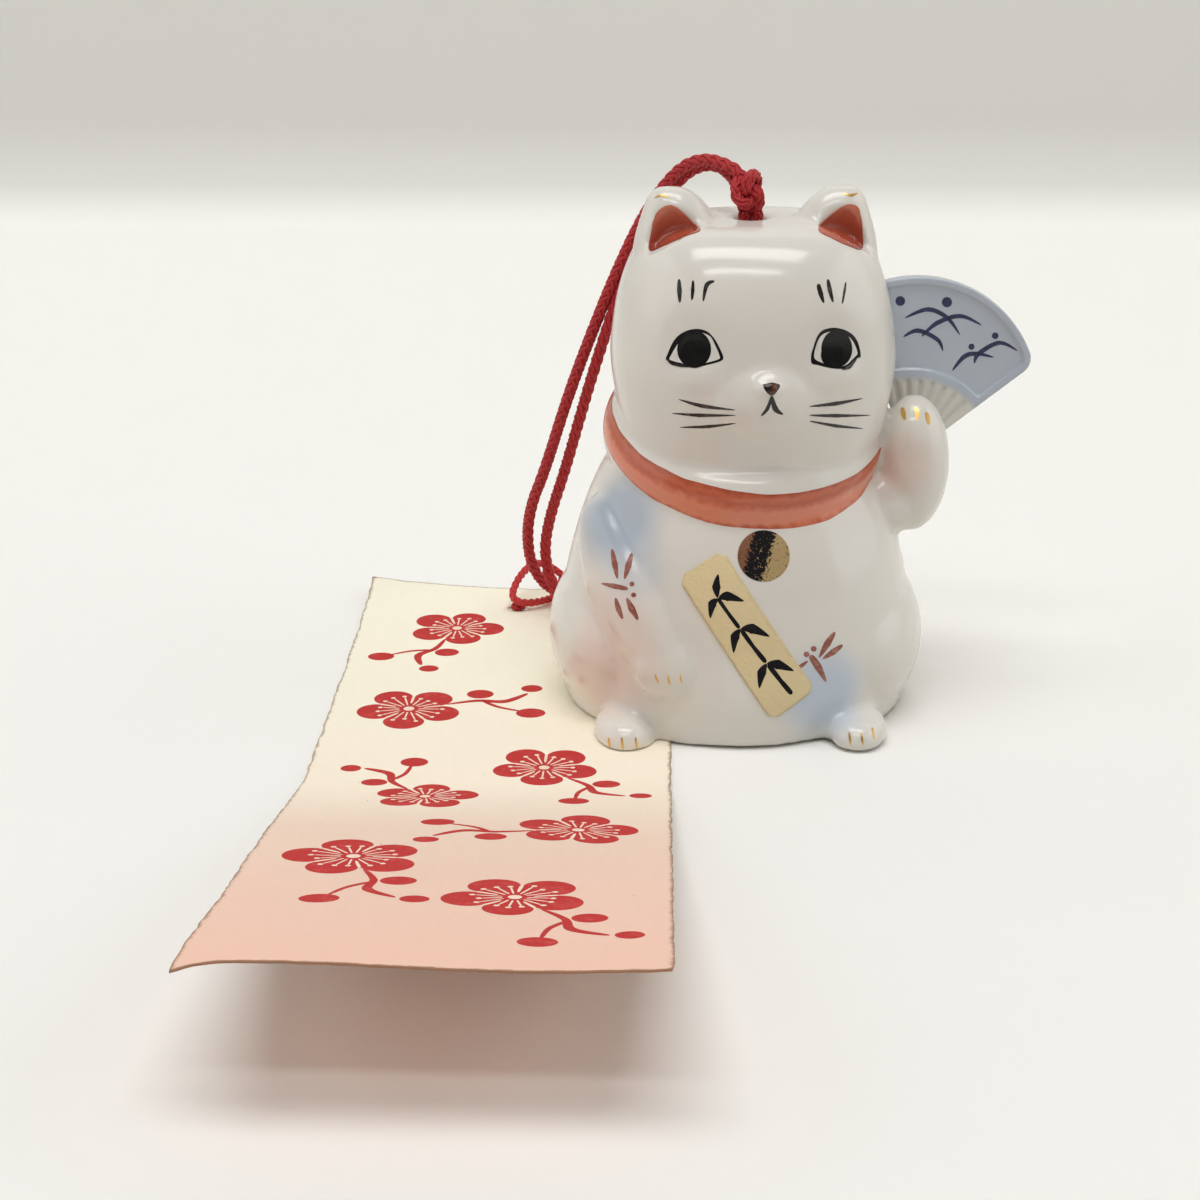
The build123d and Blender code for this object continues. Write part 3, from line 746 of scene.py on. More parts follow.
def from_bmesh(bm: bmesh.types.BMesh, name: str) -> bpy.types.Mesh:
    """Turn a bmesh into a new mesh and free it.

    Args:
        bm: the bmesh.
        name: the mesh's name.

    Returns:
        The mesh.
    """
    mesh = bpy.data.meshes.new(name)
    bm.to_mesh(mesh)
    bm.free()
    return mesh


def merged_copy(nodes: Sequence[str]) -> bmesh.types.BMesh:
    """Return the meshes of CAD nodes as one bmesh with its doubled points merged.

    Args:
        nodes: the nodes' names.

    Returns:
        The bmesh.
    """
    bm = bmesh.new()
    for name in nodes:
        bm.from_mesh(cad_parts[name].data)
    bmesh.ops.remove_doubles(bm, verts=bm.verts, dist=WELD_MM * MM)
    return bm


def thicken(bm: bmesh.types.BMesh, push: Callable[[bmesh.types.BMVert], Vector]) -> None:
    """Close a sheet to a thin solid by a pushed copy of it.

    Args:
        bm: the sheet, which changes.
        push: how far each point of the copy goes.
    """
    raised = bmesh.ops.extrude_face_region(bm, geom=bm.faces[:], use_keep_orig=True)
    for vert in (g for g in raised["geom"] if isinstance(g, bmesh.types.BMVert)):
        vert.co += push(vert)
    bmesh.ops.recalc_face_normals(bm, faces=bm.faces)


def soften(bm: bmesh.types.BMesh, voxel_mm: float, rounds: int) -> bpy.types.Mesh:
    """Fuse a mesh to one even skin and relax its creases, as slip and glaze do.

    Args:
        bm: the mesh, which is freed.
        voxel_mm: the spacing of the new points.
        rounds: how often the points relax.

    Returns:
        The new mesh.
    """
    rough = show("rough", from_bmesh(bm, "rough"))
    remesh = rough.modifiers.new("remesh", "REMESH")
    remesh.mode = "VOXEL"
    remesh.voxel_size = voxel_mm * MM
    relax = rough.modifiers.new("relax", "SMOOTH")
    relax.factor = 0.5
    relax.iterations = rounds
    depsgraph = bpy.context.evaluated_depsgraph_get()
    mesh = bpy.data.meshes.new_from_object(rough.evaluated_get(depsgraph))
    old = rough.data
    bpy.data.objects.remove(rough)
    bpy.data.meshes.remove(old)
    return mesh


@dataclass(frozen=True)
class Sight:
    """The photograph's camera, in millimetres and in pixels of its square frame."""

    eye: Place = (-23.9, -402.0, 154.8)
    focal_px: float = 2400.0
    drop_px: float = 825.0
    frame_px: float = 1200.0
    sensor_mm: float = 36.0

    @property
    def pitch(self) -> float:
        """How far the camera looks down, in radians."""
        return math.atan(self.drop_px / self.focal_px)

    def ray(self, pixel: Pixel) -> Vector:
        """Return the direction in which a pixel lies.

        Args:
            pixel: the pixel.

        Returns:
            The direction, one unit long.
        """
        ahead = Vector((0.0, math.cos(self.pitch), -math.sin(self.pitch)))
        right = Vector((1.0, 0.0, 0.0))
        up = right.cross(ahead)
        half = self.frame_px / 2
        return (
            ahead + right * (pixel[0] - half) / self.focal_px + up * (half - pixel[1]) / self.focal_px
        ).normalized()

    def make_camera(self) -> None:
        """Put the camera in the scene."""
        lens = bpy.data.cameras.new("photo_camera")
        lens.sensor_width = self.sensor_mm
        lens.lens = self.focal_px * self.sensor_mm / self.frame_px
        lens.clip_start, lens.clip_end = 0.01, 20.0
        camera = show("photo_camera", lens)
        camera.location = Vector(self.eye) * MM
        camera.rotation_euler = (math.pi / 2 - self.pitch, 0.0, 0.0)
        bpy.context.scene.camera = camera


SIGHT = Sight()


@dataclass(frozen=True)
class View:
    """A zoomed part of the photograph in which marks are placed."""

    origin: Pixel
    zoom: float

    def pixel(self, spot: Pixel) -> Pixel:
        """Return the photograph's pixel for a spot in the view."""
        return (self.origin[0] + spot[0] / self.zoom, self.origin[1] + spot[1] / self.zoom)


CAT_VIEW = View((540.0, 150.0), 2.488)
LEFT_EYE_VIEW = View((655.0, 318.0), 11.0)
RIGHT_EYE_VIEW = View((800.0, 318.0), 11.0)
DISC_VIEW = View((730.0, 522.0), 11.0)
FAN_VIEW = View((860.0, 250.0), 8.25)

Landing = Callable[[Pixel], tuple[Vector, Vector]]


class Surface:
    """A finished mesh that marks can be laid on."""

    def __init__(self, mesh: bpy.types.Mesh) -> None:
        """Index the mesh for rays.

        Args:
            mesh: the mesh, in place.
        """
        mesh.calc_loop_triangles()
        points = [v.co.copy() for v in mesh.vertices]
        self.tree = BVHTree.FromPolygons(points, [tuple(t.vertices) for t in mesh.loop_triangles])

    def land(self, start: Vector, heading: Vector) -> tuple[Vector, Vector]:
        """Return where a ray first meets the surface, or the nearest place to it.

        Args:
            start: the ray's start, in metres.
            heading: its direction.

        Returns:
            The place and its outward normal.
        """
        place, normal, _, _ = self.tree.ray_cast(start, heading)
        if place is None:
            spot = start + heading * start.length
            place, normal, _, _ = self.tree.find_nearest(spot)
        return place, normal

    def from_view(self, view: View) -> Landing:
        """Return a function that lands a spot of a zoomed view of the photograph."""
        eye = Vector(SIGHT.eye) * MM
        return lambda spot: self.land(eye, SIGHT.ray(view.pixel(spot)))

    def from_front(self) -> Landing:
        """Return a function that lands an x and z in millimetres from straight ahead."""
        return lambda spot: self.land(Vector((spot[0] * MM, -0.2, spot[1] * MM)), Vector((0.0, 1.0, 0.0)))

    def from_above(self) -> Landing:
        """Return a function that lands an x and y in millimetres from straight above."""
        return lambda spot: self.land(Vector((spot[0] * MM, spot[1] * MM, 0.2)), Vector((0.0, 0.0, -1.0)))


def along(points: Sequence[Pixel], share: float) -> Vector:
    """Return the place at a share of a smooth line through points.

    Args:
        points: the points.
        share: how far along it, from 0 to 1.

    Returns:
        The place.
    """
    spans = len(points) - 1
    at = min(share * spans, spans - 1e-6)
    i, t = int(at), at - int(at)
    p = [Vector(points[min(max(k, 0), spans)]) for k in range(i - 1, i + 3)]
    return 0.5 * (
        2 * p[1] + (p[2] - p[0]) * t + (2 * p[0] - 5 * p[1] + 4 * p[2] - p[3]) * t**2
        + (3 * (p[1] - p[2]) + p[3] - p[0]) * t**3
    )


@dataclass(frozen=True)
class Stroke:
    """A brush stroke: a smooth line with a width at each of its points."""

    points: tuple[Pixel, ...]
    widths: tuple[float, ...]
    steps: int = 18
    across: int = 4
    blunt: float = 5.0

    def spot(self, u: float, v: float) -> Pixel:
        """Return the place at u along the stroke and v across it, both from -1 to 1.

        Args:
            u: the first share.
            v: the second share.

        Returns:
            The place.
        """
        share = (u + 1) / 2
        here = along(self.points, share)
        ahead = along(self.points, min(share + 0.01, 1.0)) - along(self.points, max(share - 0.01, 0.0))
        side = Vector((-ahead[1], ahead[0])).normalized()
        at = min(share * (len(self.widths) - 1), len(self.widths) - 1 - 1e-6)
        i, t = int(at), at - int(at)
        width = self.widths[i] * (1 - t) + self.widths[i + 1] * t
        width *= math.sqrt(max(1 - abs(u) ** self.blunt, 0.002))
        return tuple(here + side * width / 2 * v)


def strokes(*rows: tuple[float, ...], steps: int = 18) -> list[Stroke]:
    """Return strokes from rows that each hold three places, as x and y, and then three widths."""
    return [Stroke(tuple(zip(row[0:6:2], row[1:6:2])), row[6:], steps) for row in rows]


@dataclass(frozen=True)
class Patch:
    """A filled outline about a centre from which all of it can be seen."""

    outline: tuple[Pixel, ...]
    centre: Pixel | None = None
    steps: int = 48
    across: int = 5
    smooth: bool = True

    def spot(self, u: float, v: float) -> Pixel:
        """Return the place at u round the outline and v out to it, both from -1 to 1.

        Args:
            u: the first share.
            v: the second share.

        Returns:
            The place.
        """
        count = len(self.outline)
        middle = Vector(self.centre or tuple(sum(p[k] for p in self.outline) / count for k in (0, 1)))
        at = (u + 1) / 2 * count
        i, t = int(at) % count, at - int(at)
        near = [self.outline[(i + k) % count] for k in (-1, 0, 1, 2)]
        edge = along(near, (1 + t) / 3) if self.smooth else Vector(near[1]).lerp(Vector(near[2]), t)
        return tuple(middle.lerp(edge, (v + 1) / 2))


def oval(centre: Pixel, half_width: float, half_height: float, points: int = 12) -> Patch:
    """Return an oval patch.

    Args:
        centre: its centre.
        half_width: half its width.
        half_height: half its height.
        points: how many points its outline has.

    Returns:
        The patch.
    """
    turns = (2 * math.pi * k / points for k in range(points))
    outline = tuple(
        (centre[0] + half_width * math.cos(a), centre[1] + half_height * math.sin(a)) for a in turns
    )
    return Patch(outline, centre)


@dataclass
class Coat:
    """Marks of one paint, laid on a surface as a thin closed skin."""

    name: str
    finish: Finish
    slot: Slot
    body: Body = Body.BELL
    lift_mm: float = 0.04
    sink_mm: float = 0.06
    crease: float = math.radians(50)

    def lay(self, marks: Iterable[Stroke | Patch], land: Landing) -> bpy.types.Object:
        """Lay marks on a surface.

        Args:
            marks: the strokes and patches.
            land: finds where a spot of a mark lies, and the normal there.

        Returns:
            The piece that holds all the marks.
        """
        whole = bmesh.new()
        for mark in marks:
            bm = bmesh.new()
            bmesh.ops.create_grid(bm, x_segments=mark.steps, y_segments=mark.across, size=1.0)
            rise = bm.verts.layers.float_vector.new("rise")
            for vert in bm.verts:
                place, normal = land(mark.spot(vert.co.x, vert.co.y))
                vert.co = place - normal * self.sink_mm * MM
                vert[rise] = normal * (self.lift_mm + self.sink_mm) * MM
            bmesh.ops.remove_doubles(bm, verts=bm.verts, dist=MARK_WELD_MM * MM)
            thicken(bm, lambda vert: vert[rise])
            part = from_bmesh(bm, "mark")
            whole.from_mesh(part)
            bpy.data.meshes.remove(part)
        mesh = from_bmesh(whole, self.name)
        mesh.set_sharp_from_angle(angle=self.crease)
        return settle(new_piece(self.name, mesh, self.finish), self.body, self.slot)


@dataclass(frozen=True)
class Dab:
    """A thumb's touch on the soft clay: a push in or out about a spot of the cat's view."""

    spot: Pixel
    radius_mm: float
    lift_mm: float
    way: Place | None = None

    def press(self, mesh: bpy.types.Mesh, skin: Surface) -> None:
        """Move the mesh's points about the spot.

        Args:
            mesh: the cat's mesh, which changes.
            skin: the same mesh as it was, to find the spot on.
        """
        place, normal = skin.from_view(CAT_VIEW)(self.spot)
        push = Vector(self.way or normal) * self.lift_mm * MM
        for vert in mesh.vertices:
            away = (vert.co - place).length / (self.radius_mm * MM)
            if away < 1.0:
                lowest = min(vert.co.z, 0.0)
                vert.co += push * (1 - away * away) ** 2
                vert.co.z = max(vert.co.z, lowest)


@dataclass(frozen=True)
class Eye:
    """One painted eye, with its marks in a view of its own."""

    side: str
    view: View
    outline: tuple[Pixel, ...]
    white: tuple[Pixel, ...]
    lid: Stroke
    ball: Patch
    iris: Patch
    pupil: Patch
    steps: int = 96

    def paint(self, skin: Surface) -> None:
        """Lay the eye's coats, each a little above the one below.

        Args:
            skin: the cat's surface.
        """
        land = skin.from_view(self.view)
        for part, finish, mark, lift in (
            ("lower_lid", GREY_ENAMEL, self.lid, 0.09),
            ("eye_outline", BLACK_ENAMEL, Patch(self.outline, steps=self.steps), 0.04),
            ("eye_white", WHITE_ENAMEL, Patch(self.white, steps=self.steps), 0.07),
            ("eye_ball", BLACK_ENAMEL, self.ball, 0.10),
            # The iris coat carries a painted highlight, grey towards its top
            ("iris", IRIS_WITH_PAINTED_HIGHLIGHT, self.iris, 0.12),
            ("pupil", BLACK_ENAMEL, self.pupil, 0.14),
        ):
            Coat(f"{self.side}_{part}", finish, Slot.PORCELAIN, lift_mm=lift).lay((mark,), land)


LEFT_EYE = Eye(
    "left",
    LEFT_EYE_VIEW,
    (
        (118, 450), (140, 395), (170, 320), (205, 255), (250, 200), (310, 158), (380, 130), (460, 120),
        (530, 130), (590, 160), (640, 210), (680, 270), (715, 340), (742, 400), (752, 440), (735, 466),
        (690, 486), (620, 505), (550, 522), (500, 534), (440, 538), (380, 532), (300, 516), (220, 492),
        (150, 470)
    ),
    (
        (160, 453), (185, 398), (217, 338), (257, 280), (300, 228), (350, 190), (420, 165), (480, 158),
        (540, 168), (590, 190), (628, 228), (658, 290), (688, 355), (708, 408), (714, 443), (660, 468),
        (600, 484), (545, 500), (490, 514), (440, 520), (380, 516), (300, 503), (225, 480)
    ),
    Stroke(((128, 452), (190, 492), (285, 518), (400, 536)), (14, 44, 46, 14), steps=24),
    oval((432, 344), 186, 206, 20),
    oval((420, 345), 156, 168, 20),
    oval((448, 384), 152, 150, 20),
)
RIGHT_EYE = Eye(
    "right",
    RIGHT_EYE_VIEW,
    (
        (122, 480), (124, 400), (145, 330), (166, 260), (197, 190), (242, 140), (307, 115), (382, 107),
        (462, 121), (532, 150), (592, 196), (632, 260), (657, 340), (667, 420), (640, 440), (605, 455),
        (570, 495), (530, 530), (480, 555), (422, 560), (342, 552), (262, 535), (192, 516), (142, 508)
    ),
    (
        (162, 448), (157, 390), (172, 320), (197, 250), (232, 195), (280, 164), (330, 150), (390, 145),
        (460, 160), (542, 212), (582, 260), (612, 320), (630, 388), (602, 428), (562, 468), (527, 502),
        (470, 530), (410, 535), (352, 524), (292, 508), (222, 485)
    ),
    Stroke(((460, 566), (540, 545), (590, 485), (625, 440)), (14, 30, 26, 10), steps=24),
    oval((402, 338), 170, 206, 20),
    oval((412, 326), 150, 172, 20),
    oval((352, 406), 124, 140, 20),
)


@dataclass
class PaintedCat:
    """The porcelain cat: its glazed skin, its painted face and its gilding."""

    voxel_mm: float = 0.62
    relax_rounds: int = 9
    nodes: tuple[str, ...] = ("cat_bell", "raised_arm")
    eyes: tuple[Eye, ...] = (LEFT_EYE, RIGHT_EYE)
    left_lining: tuple[Pixel, ...] = (
        (272, 250), (276, 205), (286, 165), (302, 145), (325, 137), (350, 150), (380, 180), (399, 200),
        (360, 216), (310, 238)
    )
    right_lining: tuple[Pixel, ...] = (
        (692, 198), (720, 165), (750, 142), (770, 135), (790, 142), (798, 165), (803, 205), (801, 246),
        (770, 240), (730, 222)
    )
    dabs: tuple[Dab, ...] = (
        Dab((383, 490), 8.0, -0.55), Dab((736, 490), 7.5, -0.50), Dab((350, 563), 3.4, 0.30),
        Dab((385, 567), 3.4, 0.32), Dab((420, 563), 3.4, 0.30), Dab((705, 563), 3.4, 0.28),
        Dab((738, 567), 3.4, 0.30), Dab((770, 563), 3.4, 0.28), Dab((577, 628), 7.0, 0.60),
        Dab((214, 1388), 5.6, 1.1, (0.0, 0.0, -1.0)), Dab((799, 1390), 5.6, 1.1, (0.0, 0.0, -1.0)),
        Dab((318, 1438), 6.8, 1.9, (0.0, 0.0, -1.0)), Dab((702, 1465), 4.0, 0.4, (0.0, 0.0, -1.0)),
        Dab((500, 1470), 17.0, 1.6, (0.0, -1.0, 0.0))
    )
    skin: Surface | None = field(default=None, init=False)

    def build(self) -> None:
        """Make the skin, press its small forms, then paint it."""
        mesh = soften(merged_copy(self.nodes), self.voxel_mm, self.relax_rounds)
        cast = Surface(mesh)
        for dab in self.dabs:
            dab.press(mesh, cast)
        settle(new_piece("porcelain_cat", mesh, PORCELAIN), Body.BELL, Slot.PORCELAIN, *self.nodes)
        self.skin = Surface(mesh)
        self.paint_face()
        self.paint_dragonflies()
        self.gild()

    def paint_face(self) -> None:
        """Paint the eyes, brows, whiskers, nose, mouth and ear linings, the linings with painted shade low in
        their hollows.
        """
        land = self.skin.from_view(CAT_VIEW)
        slot = Slot.PORCELAIN
        for eye in self.eyes:
            eye.paint(self.skin)
        brows = strokes(
            (346, 321, 347, 350, 348, 380, 7, 12, 6),
            (381, 324, 380, 348, 378, 374, 5, 9, 5),
            (434, 326, 415, 336, 406, 377, 6, 11, 5),
            (692, 333, 698, 356, 706, 381, 10, 12, 5),
            (716, 321, 721, 348, 729, 379, 7, 11, 5),
            (761, 328, 757, 354, 752, 383, 4, 6, 4),
        )
        whiskers = strokes(
            (344, 620, 405, 637, 487, 647, 2, 10, 2),
            (328, 655, 400, 660, 488, 660, 2, 9, 2),
            (347, 690, 418, 688, 487, 680, 2, 8, 2),
            (670, 638, 735, 631, 803, 618, 3, 10, 2),
            (670, 660, 735, 661, 822, 660, 3, 9, 2),
            (670, 674, 735, 686, 804, 693, 3, 8, 2),
            steps=30,
        )
        Coat("brows_and_whiskers", GREY_ENAMEL, slot).lay((*brows, *whiskers), land)
        mouth = strokes(
            (550, 662, 566, 643, 577, 612, 4, 9, 7),
            (576, 611, 586, 644, 605, 658, 7, 14, 4),
        )
        Coat("mouth", BLACK_ENAMEL, slot).lay(mouth, land)
        nose = Patch(
            ((555, 585), (565, 581), (576, 579), (588, 581), (597, 586), (590, 600), (577, 611), (563, 602))
        )
        Coat("nose", NOSE_ENAMEL, slot).lay((nose,), land)
        # Red linings that darken low in the ear hollows as painted shade
        linings = (
            Patch(self.left_lining, across=14, steps=70), Patch(self.right_lining, across=14, steps=70)
        )
        Coat("ear_linings_with_painted_shade", EAR_LINING_WITH_PAINTED_SHADE, slot, lift_mm=0.16).lay(linings, land)

    def paint_dragonflies(self) -> None:
        """Paint the two brushed dragonflies on the sleeve and the belly."""
        sleeve = strokes(
            (179, 992, 186, 1030, 193, 1067, 7, 15, 5),
            (229, 1002, 220, 1034, 210, 1068, 7, 16, 5),
            (188, 1114, 195, 1140, 206, 1167, 5, 14, 6),
            (216, 1114, 228, 1140, 244, 1169, 5, 17, 7),
            (152, 1078, 184, 1085, 219, 1092, 3, 13, 10),
        )
        belly = strokes(
            (734, 1199, 715, 1228, 694, 1263, 7, 17, 5),
            (753, 1231, 729, 1249, 703, 1266, 7, 15, 5),
            (672, 1257, 692, 1286, 712, 1324, 15, 18, 5),
            (640, 1290, 652, 1282, 666, 1271, 9, 9, 4),
        )
        sleeve += [oval((229, 1080), 6, 6), oval((233, 1107), 6, 6)]
        belly += [oval((681, 1241), 7, 7), oval((663, 1255), 7, 7)]
        marks = sleeve + belly
        Coat("dragonflies", RED_BROWN_ENAMEL, Slot.PORCELAIN).lay(marks, self.skin.from_view(CAT_VIEW))

    def gild(self) -> None:
        """Lay the gold disc, the claws and the touches on the ears."""
        land = self.skin.from_view(CAT_VIEW)
        Coat("gold_disc_with_painted_reflection", GOLD_DISC_WITH_PAINTED_REFLECTION, Slot.PORCELAIN, lift_mm=0.06).lay(
            (oval((370, 374), 287, 283, 24),), self.skin.from_view(DISC_VIEW)
        )
        claws = strokes(
            (901, 640, 904, 656, 908, 672, 9, 13, 6),
            (934, 638, 939, 656, 936, 672, 7, 12, 6),
            (960, 652, 965, 667, 967, 684, 8, 12, 6),
            (286, 1304, 290, 1316, 296, 1326, 3, 5, 3),
            (318, 1306, 320, 1319, 324, 1331, 3, 6, 3),
            (349, 1304, 350, 1316, 353, 1328, 3, 5, 3),
            (170, 1462, 172, 1476, 174, 1490, 4, 6, 3),
            (203, 1461, 205, 1476, 207, 1492, 4, 6, 3),
            (238, 1461, 239, 1475, 241, 1490, 4, 6, 3),
            (769, 1448, 771, 1464, 773, 1482, 4, 6, 3),
            (799, 1449, 801, 1465, 804, 1482, 4, 6, 3),
            (826, 1436, 829, 1450, 832, 1466, 4, 6, 3),
            (284, 120, 303, 113, 322, 119, 3, 6, 3),
            (754, 108, 774, 113, 792, 107, 3, 7, 3),
            steps=10,
        )
        Coat("gold_claws", GOLD_LINE, Slot.PORCELAIN).lay(claws, land)


@dataclass
class PaintedFan:
    """The open fan, with its grasses and dots in cobalt."""

    voxel_mm: float = 0.26
    relax_rounds: int = 5
    line_px: float = 34.0
    grasses: tuple[tuple[Pixel, ...], ...] = (
        ((370, 560), (560, 490), (720, 560), (825, 700)), ((505, 715), (640, 600), (830, 545), (1005, 620)),
        ((357, 715), (480, 665), (640, 740), (685, 835)), ((760, 995), (860, 880), (960, 855), (1105, 885)),
        ((942, 935), (980, 855), (1150, 765), (1300, 830))
    )
    dots: tuple[tuple[Pixel, float], ...] = (
        ((332, 420), 40.0), ((717, 430), 42.0), ((1115, 707), 27.0), ((920, 797), 25.0)
    )

    def build(self) -> None:
        """Make the fan and paint its front."""
        mesh = soften(merged_copy(("fan",)), self.voxel_mm, self.relax_rounds)
        settle(new_piece("painted_fan", mesh, FAN_BLUE), Body.BELL, Slot.FAN_GLAZE, "fan")
        land = Surface(mesh).from_view(FAN_VIEW)
        widths = (self.line_px * 0.5, self.line_px * 1.1, self.line_px, self.line_px * 0.4)
        marks = [Stroke(points, widths, steps=36) for points in self.grasses]
        marks += [oval(centre, radius, radius) for centre, radius in self.dots]
        Coat("fan_grasses", COBALT, Slot.FAN_GLAZE).lay(marks, land)


@dataclass
class PaperTag:
    """The cream tag pasted on the belly, with a brushed sprig of bamboo."""

    width: float = 8.8
    length: float = 28.6
    corner: float = 1.2
    centre: Pixel = (0.6, 19.4)
    lean: float = math.radians(33.5)
    thick: float = 0.22
    paste: float = 0.06
    brush: float = 1.3

    def on_belly(self, across: float, up: float) -> Pixel:
        """Return the x and z of a place on the tag."""
        turn = Matrix.Rotation(self.lean, 2)
        return tuple(Vector(self.centre) + turn @ Vector((across, up)))

    def build(self, skin: Surface) -> None:
        """Cut the tag, paste it on and paint it.

        Args:
            skin: the cat's surface.
        """
        land = skin.from_front()
        bm = bmesh.new()
        bmesh.ops.create_grid(bm, x_segments=24, y_segments=72, size=1.0)
        half = Vector((self.width / 2, self.length / 2, 0.0))
        bmesh.ops.scale(bm, vec=(half.x, half.y, 1.0), verts=bm.verts)
        for sx in (-1, 1):
            for sy in (-1, 1):
                spot = Vector((sx * (half.x - self.corner / 2), sy * (half.y - self.corner / 2), 0.0))
                bmesh.ops.bisect_plane(
                    bm, geom=bm.verts[:] + bm.edges[:] + bm.faces[:], plane_co=spot, plane_no=(sx, sy, 0.0),
                    clear_outer=True
                )
        rim = bm.verts.layers.float.new("rim_mm")
        rise = bm.verts.layers.float_vector.new("rise")
        for vert in bm.verts:
            vert[rim] = min(half.x - abs(vert.co.x), half.y - abs(vert.co.y))
            place, normal = land(self.on_belly(vert.co.x, vert.co.y))
            vert.co = place - normal * self.paste * MM
            vert[rise] = normal * (self.thick + self.paste) * MM
        thicken(bm, lambda vert: vert[rise])
        mesh = from_bmesh(bm, "paper_tag")
        settle(new_piece("paper_tag", mesh, TAG_PAPER), Body.BELL, Slot.LABEL_PAPER, "paper_label")
        face = Surface(mesh).from_front()
        marks = [
            Stroke(tuple(self.on_belly(*p) for p in points), tuple(self.brush * w for w in widths), steps=24)
            for points, widths in self.sprig()
        ]
        Coat("tag_sprig", BLACK_INK, Slot.LABEL_PAPER, lift_mm=0.02, sink_mm=0.04).lay(marks, face)

    def sprig(self) -> list[tuple[tuple[Pixel, ...], tuple[float, ...]]]:
        """Return the sprig's strokes on the tag: a jointed stem and pairs of leaves.

        Returns:
            Each stroke's points and widths, in millimetres.
        """
        stem = [
            (((0.9, -12.4), (0.6, -9.0), (0.4, -5.6)), (0.75, 0.55, 0.75)),
            (((0.3, -5.2), (0.0, -1.6), (-0.1, 1.8)), (0.75, 0.5, 0.7)),
            (((-0.2, 2.2), (-0.4, 5.4), (-0.5, 8.4)), (0.65, 0.45, 0.55))
        ]
        leaves = [
            (((0.3, -5.4), (1.7, -6.6), (3.3, -9.2)), (0.2, 1.3, 0.15)),
            (((0.3, -5.4), (-1.2, -6.2), (-3.0, -8.2)), (0.2, 1.2, 0.15)),
            (((-0.1, 2.0), (1.5, 1.0), (3.2, -1.8)), (0.2, 1.35, 0.15)),
            (((-0.1, 2.0), (-1.6, 1.4), (-3.3, -0.8)), (0.2, 1.2, 0.15)),
            (((-0.5, 8.2), (1.0, 7.8), (2.9, 5.6)), (0.2, 1.25, 0.15)),
            (((-0.5, 8.2), (-1.8, 8.0), (-3.4, 6.2)), (0.2, 1.1, 0.15)),
            (((-0.5, 8.4), (0.3, 10.0), (1.7, 11.6)), (0.2, 1.1, 0.15))
        ]
        return stem + leaves


def curve_mesh(curve: bpy.types.Curve) -> bpy.types.Mesh:
    """Turn a curve into a new mesh and remove the curve.

    Args:
        curve: the curve.

    Returns:
        The mesh.
    """
    holder = show(curve.name, curve)
    mesh = bpy.data.meshes.new_from_object(holder)
    bpy.data.objects.remove(holder)
    bpy.data.curves.remove(curve)
    return mesh


def spline_points(route: Sequence[Place], resolution: int = 10) -> list[Vector]:
    """Return the points of the smooth spline that a route steers, in metres.

    Args:
        route: the points that steer it, in millimetres.
        resolution: the steps from one to the next.

    Returns:
        The points.
    """
    curve = bpy.data.curves.new("route", "CURVE")
    curve.dimensions = "3D"
    curve.resolution_u = resolution
    spline = curve.splines.new("NURBS")
    spline.points.add(len(route) - 1)
    for point, place in zip(spline.points, route):
        point.co = (*(Vector(place) * MM), 1.0)
    spline.order_u = 3
    spline.use_endpoint_u = True
    mesh = curve_mesh(curve)
    points = [v.co.copy() for v in mesh.vertices]
    bpy.data.meshes.remove(mesh)
    return points


def evenly(points: Sequence[Vector], step: float) -> list[Vector]:
    """Return points read off a line at even steps.

    Args:
        points: the line's points.
        step: the distance from one to the next.

    Returns:
        The even points.
    """
    spans = [(b - a).length for a, b in zip(points, points[1:])]
    count = max(2, round(sum(spans) / step))
    out, i, gone = [], 0, 0.0
    for k in range(count + 1):
        want = sum(spans) * k / count
        while i < len(spans) - 1 and gone + spans[i] < want:
            gone += spans[i]
            i += 1
        out.append(points[i].lerp(points[i + 1], min((want - gone) / max(spans[i], 1e-12), 1.0)))
    return out


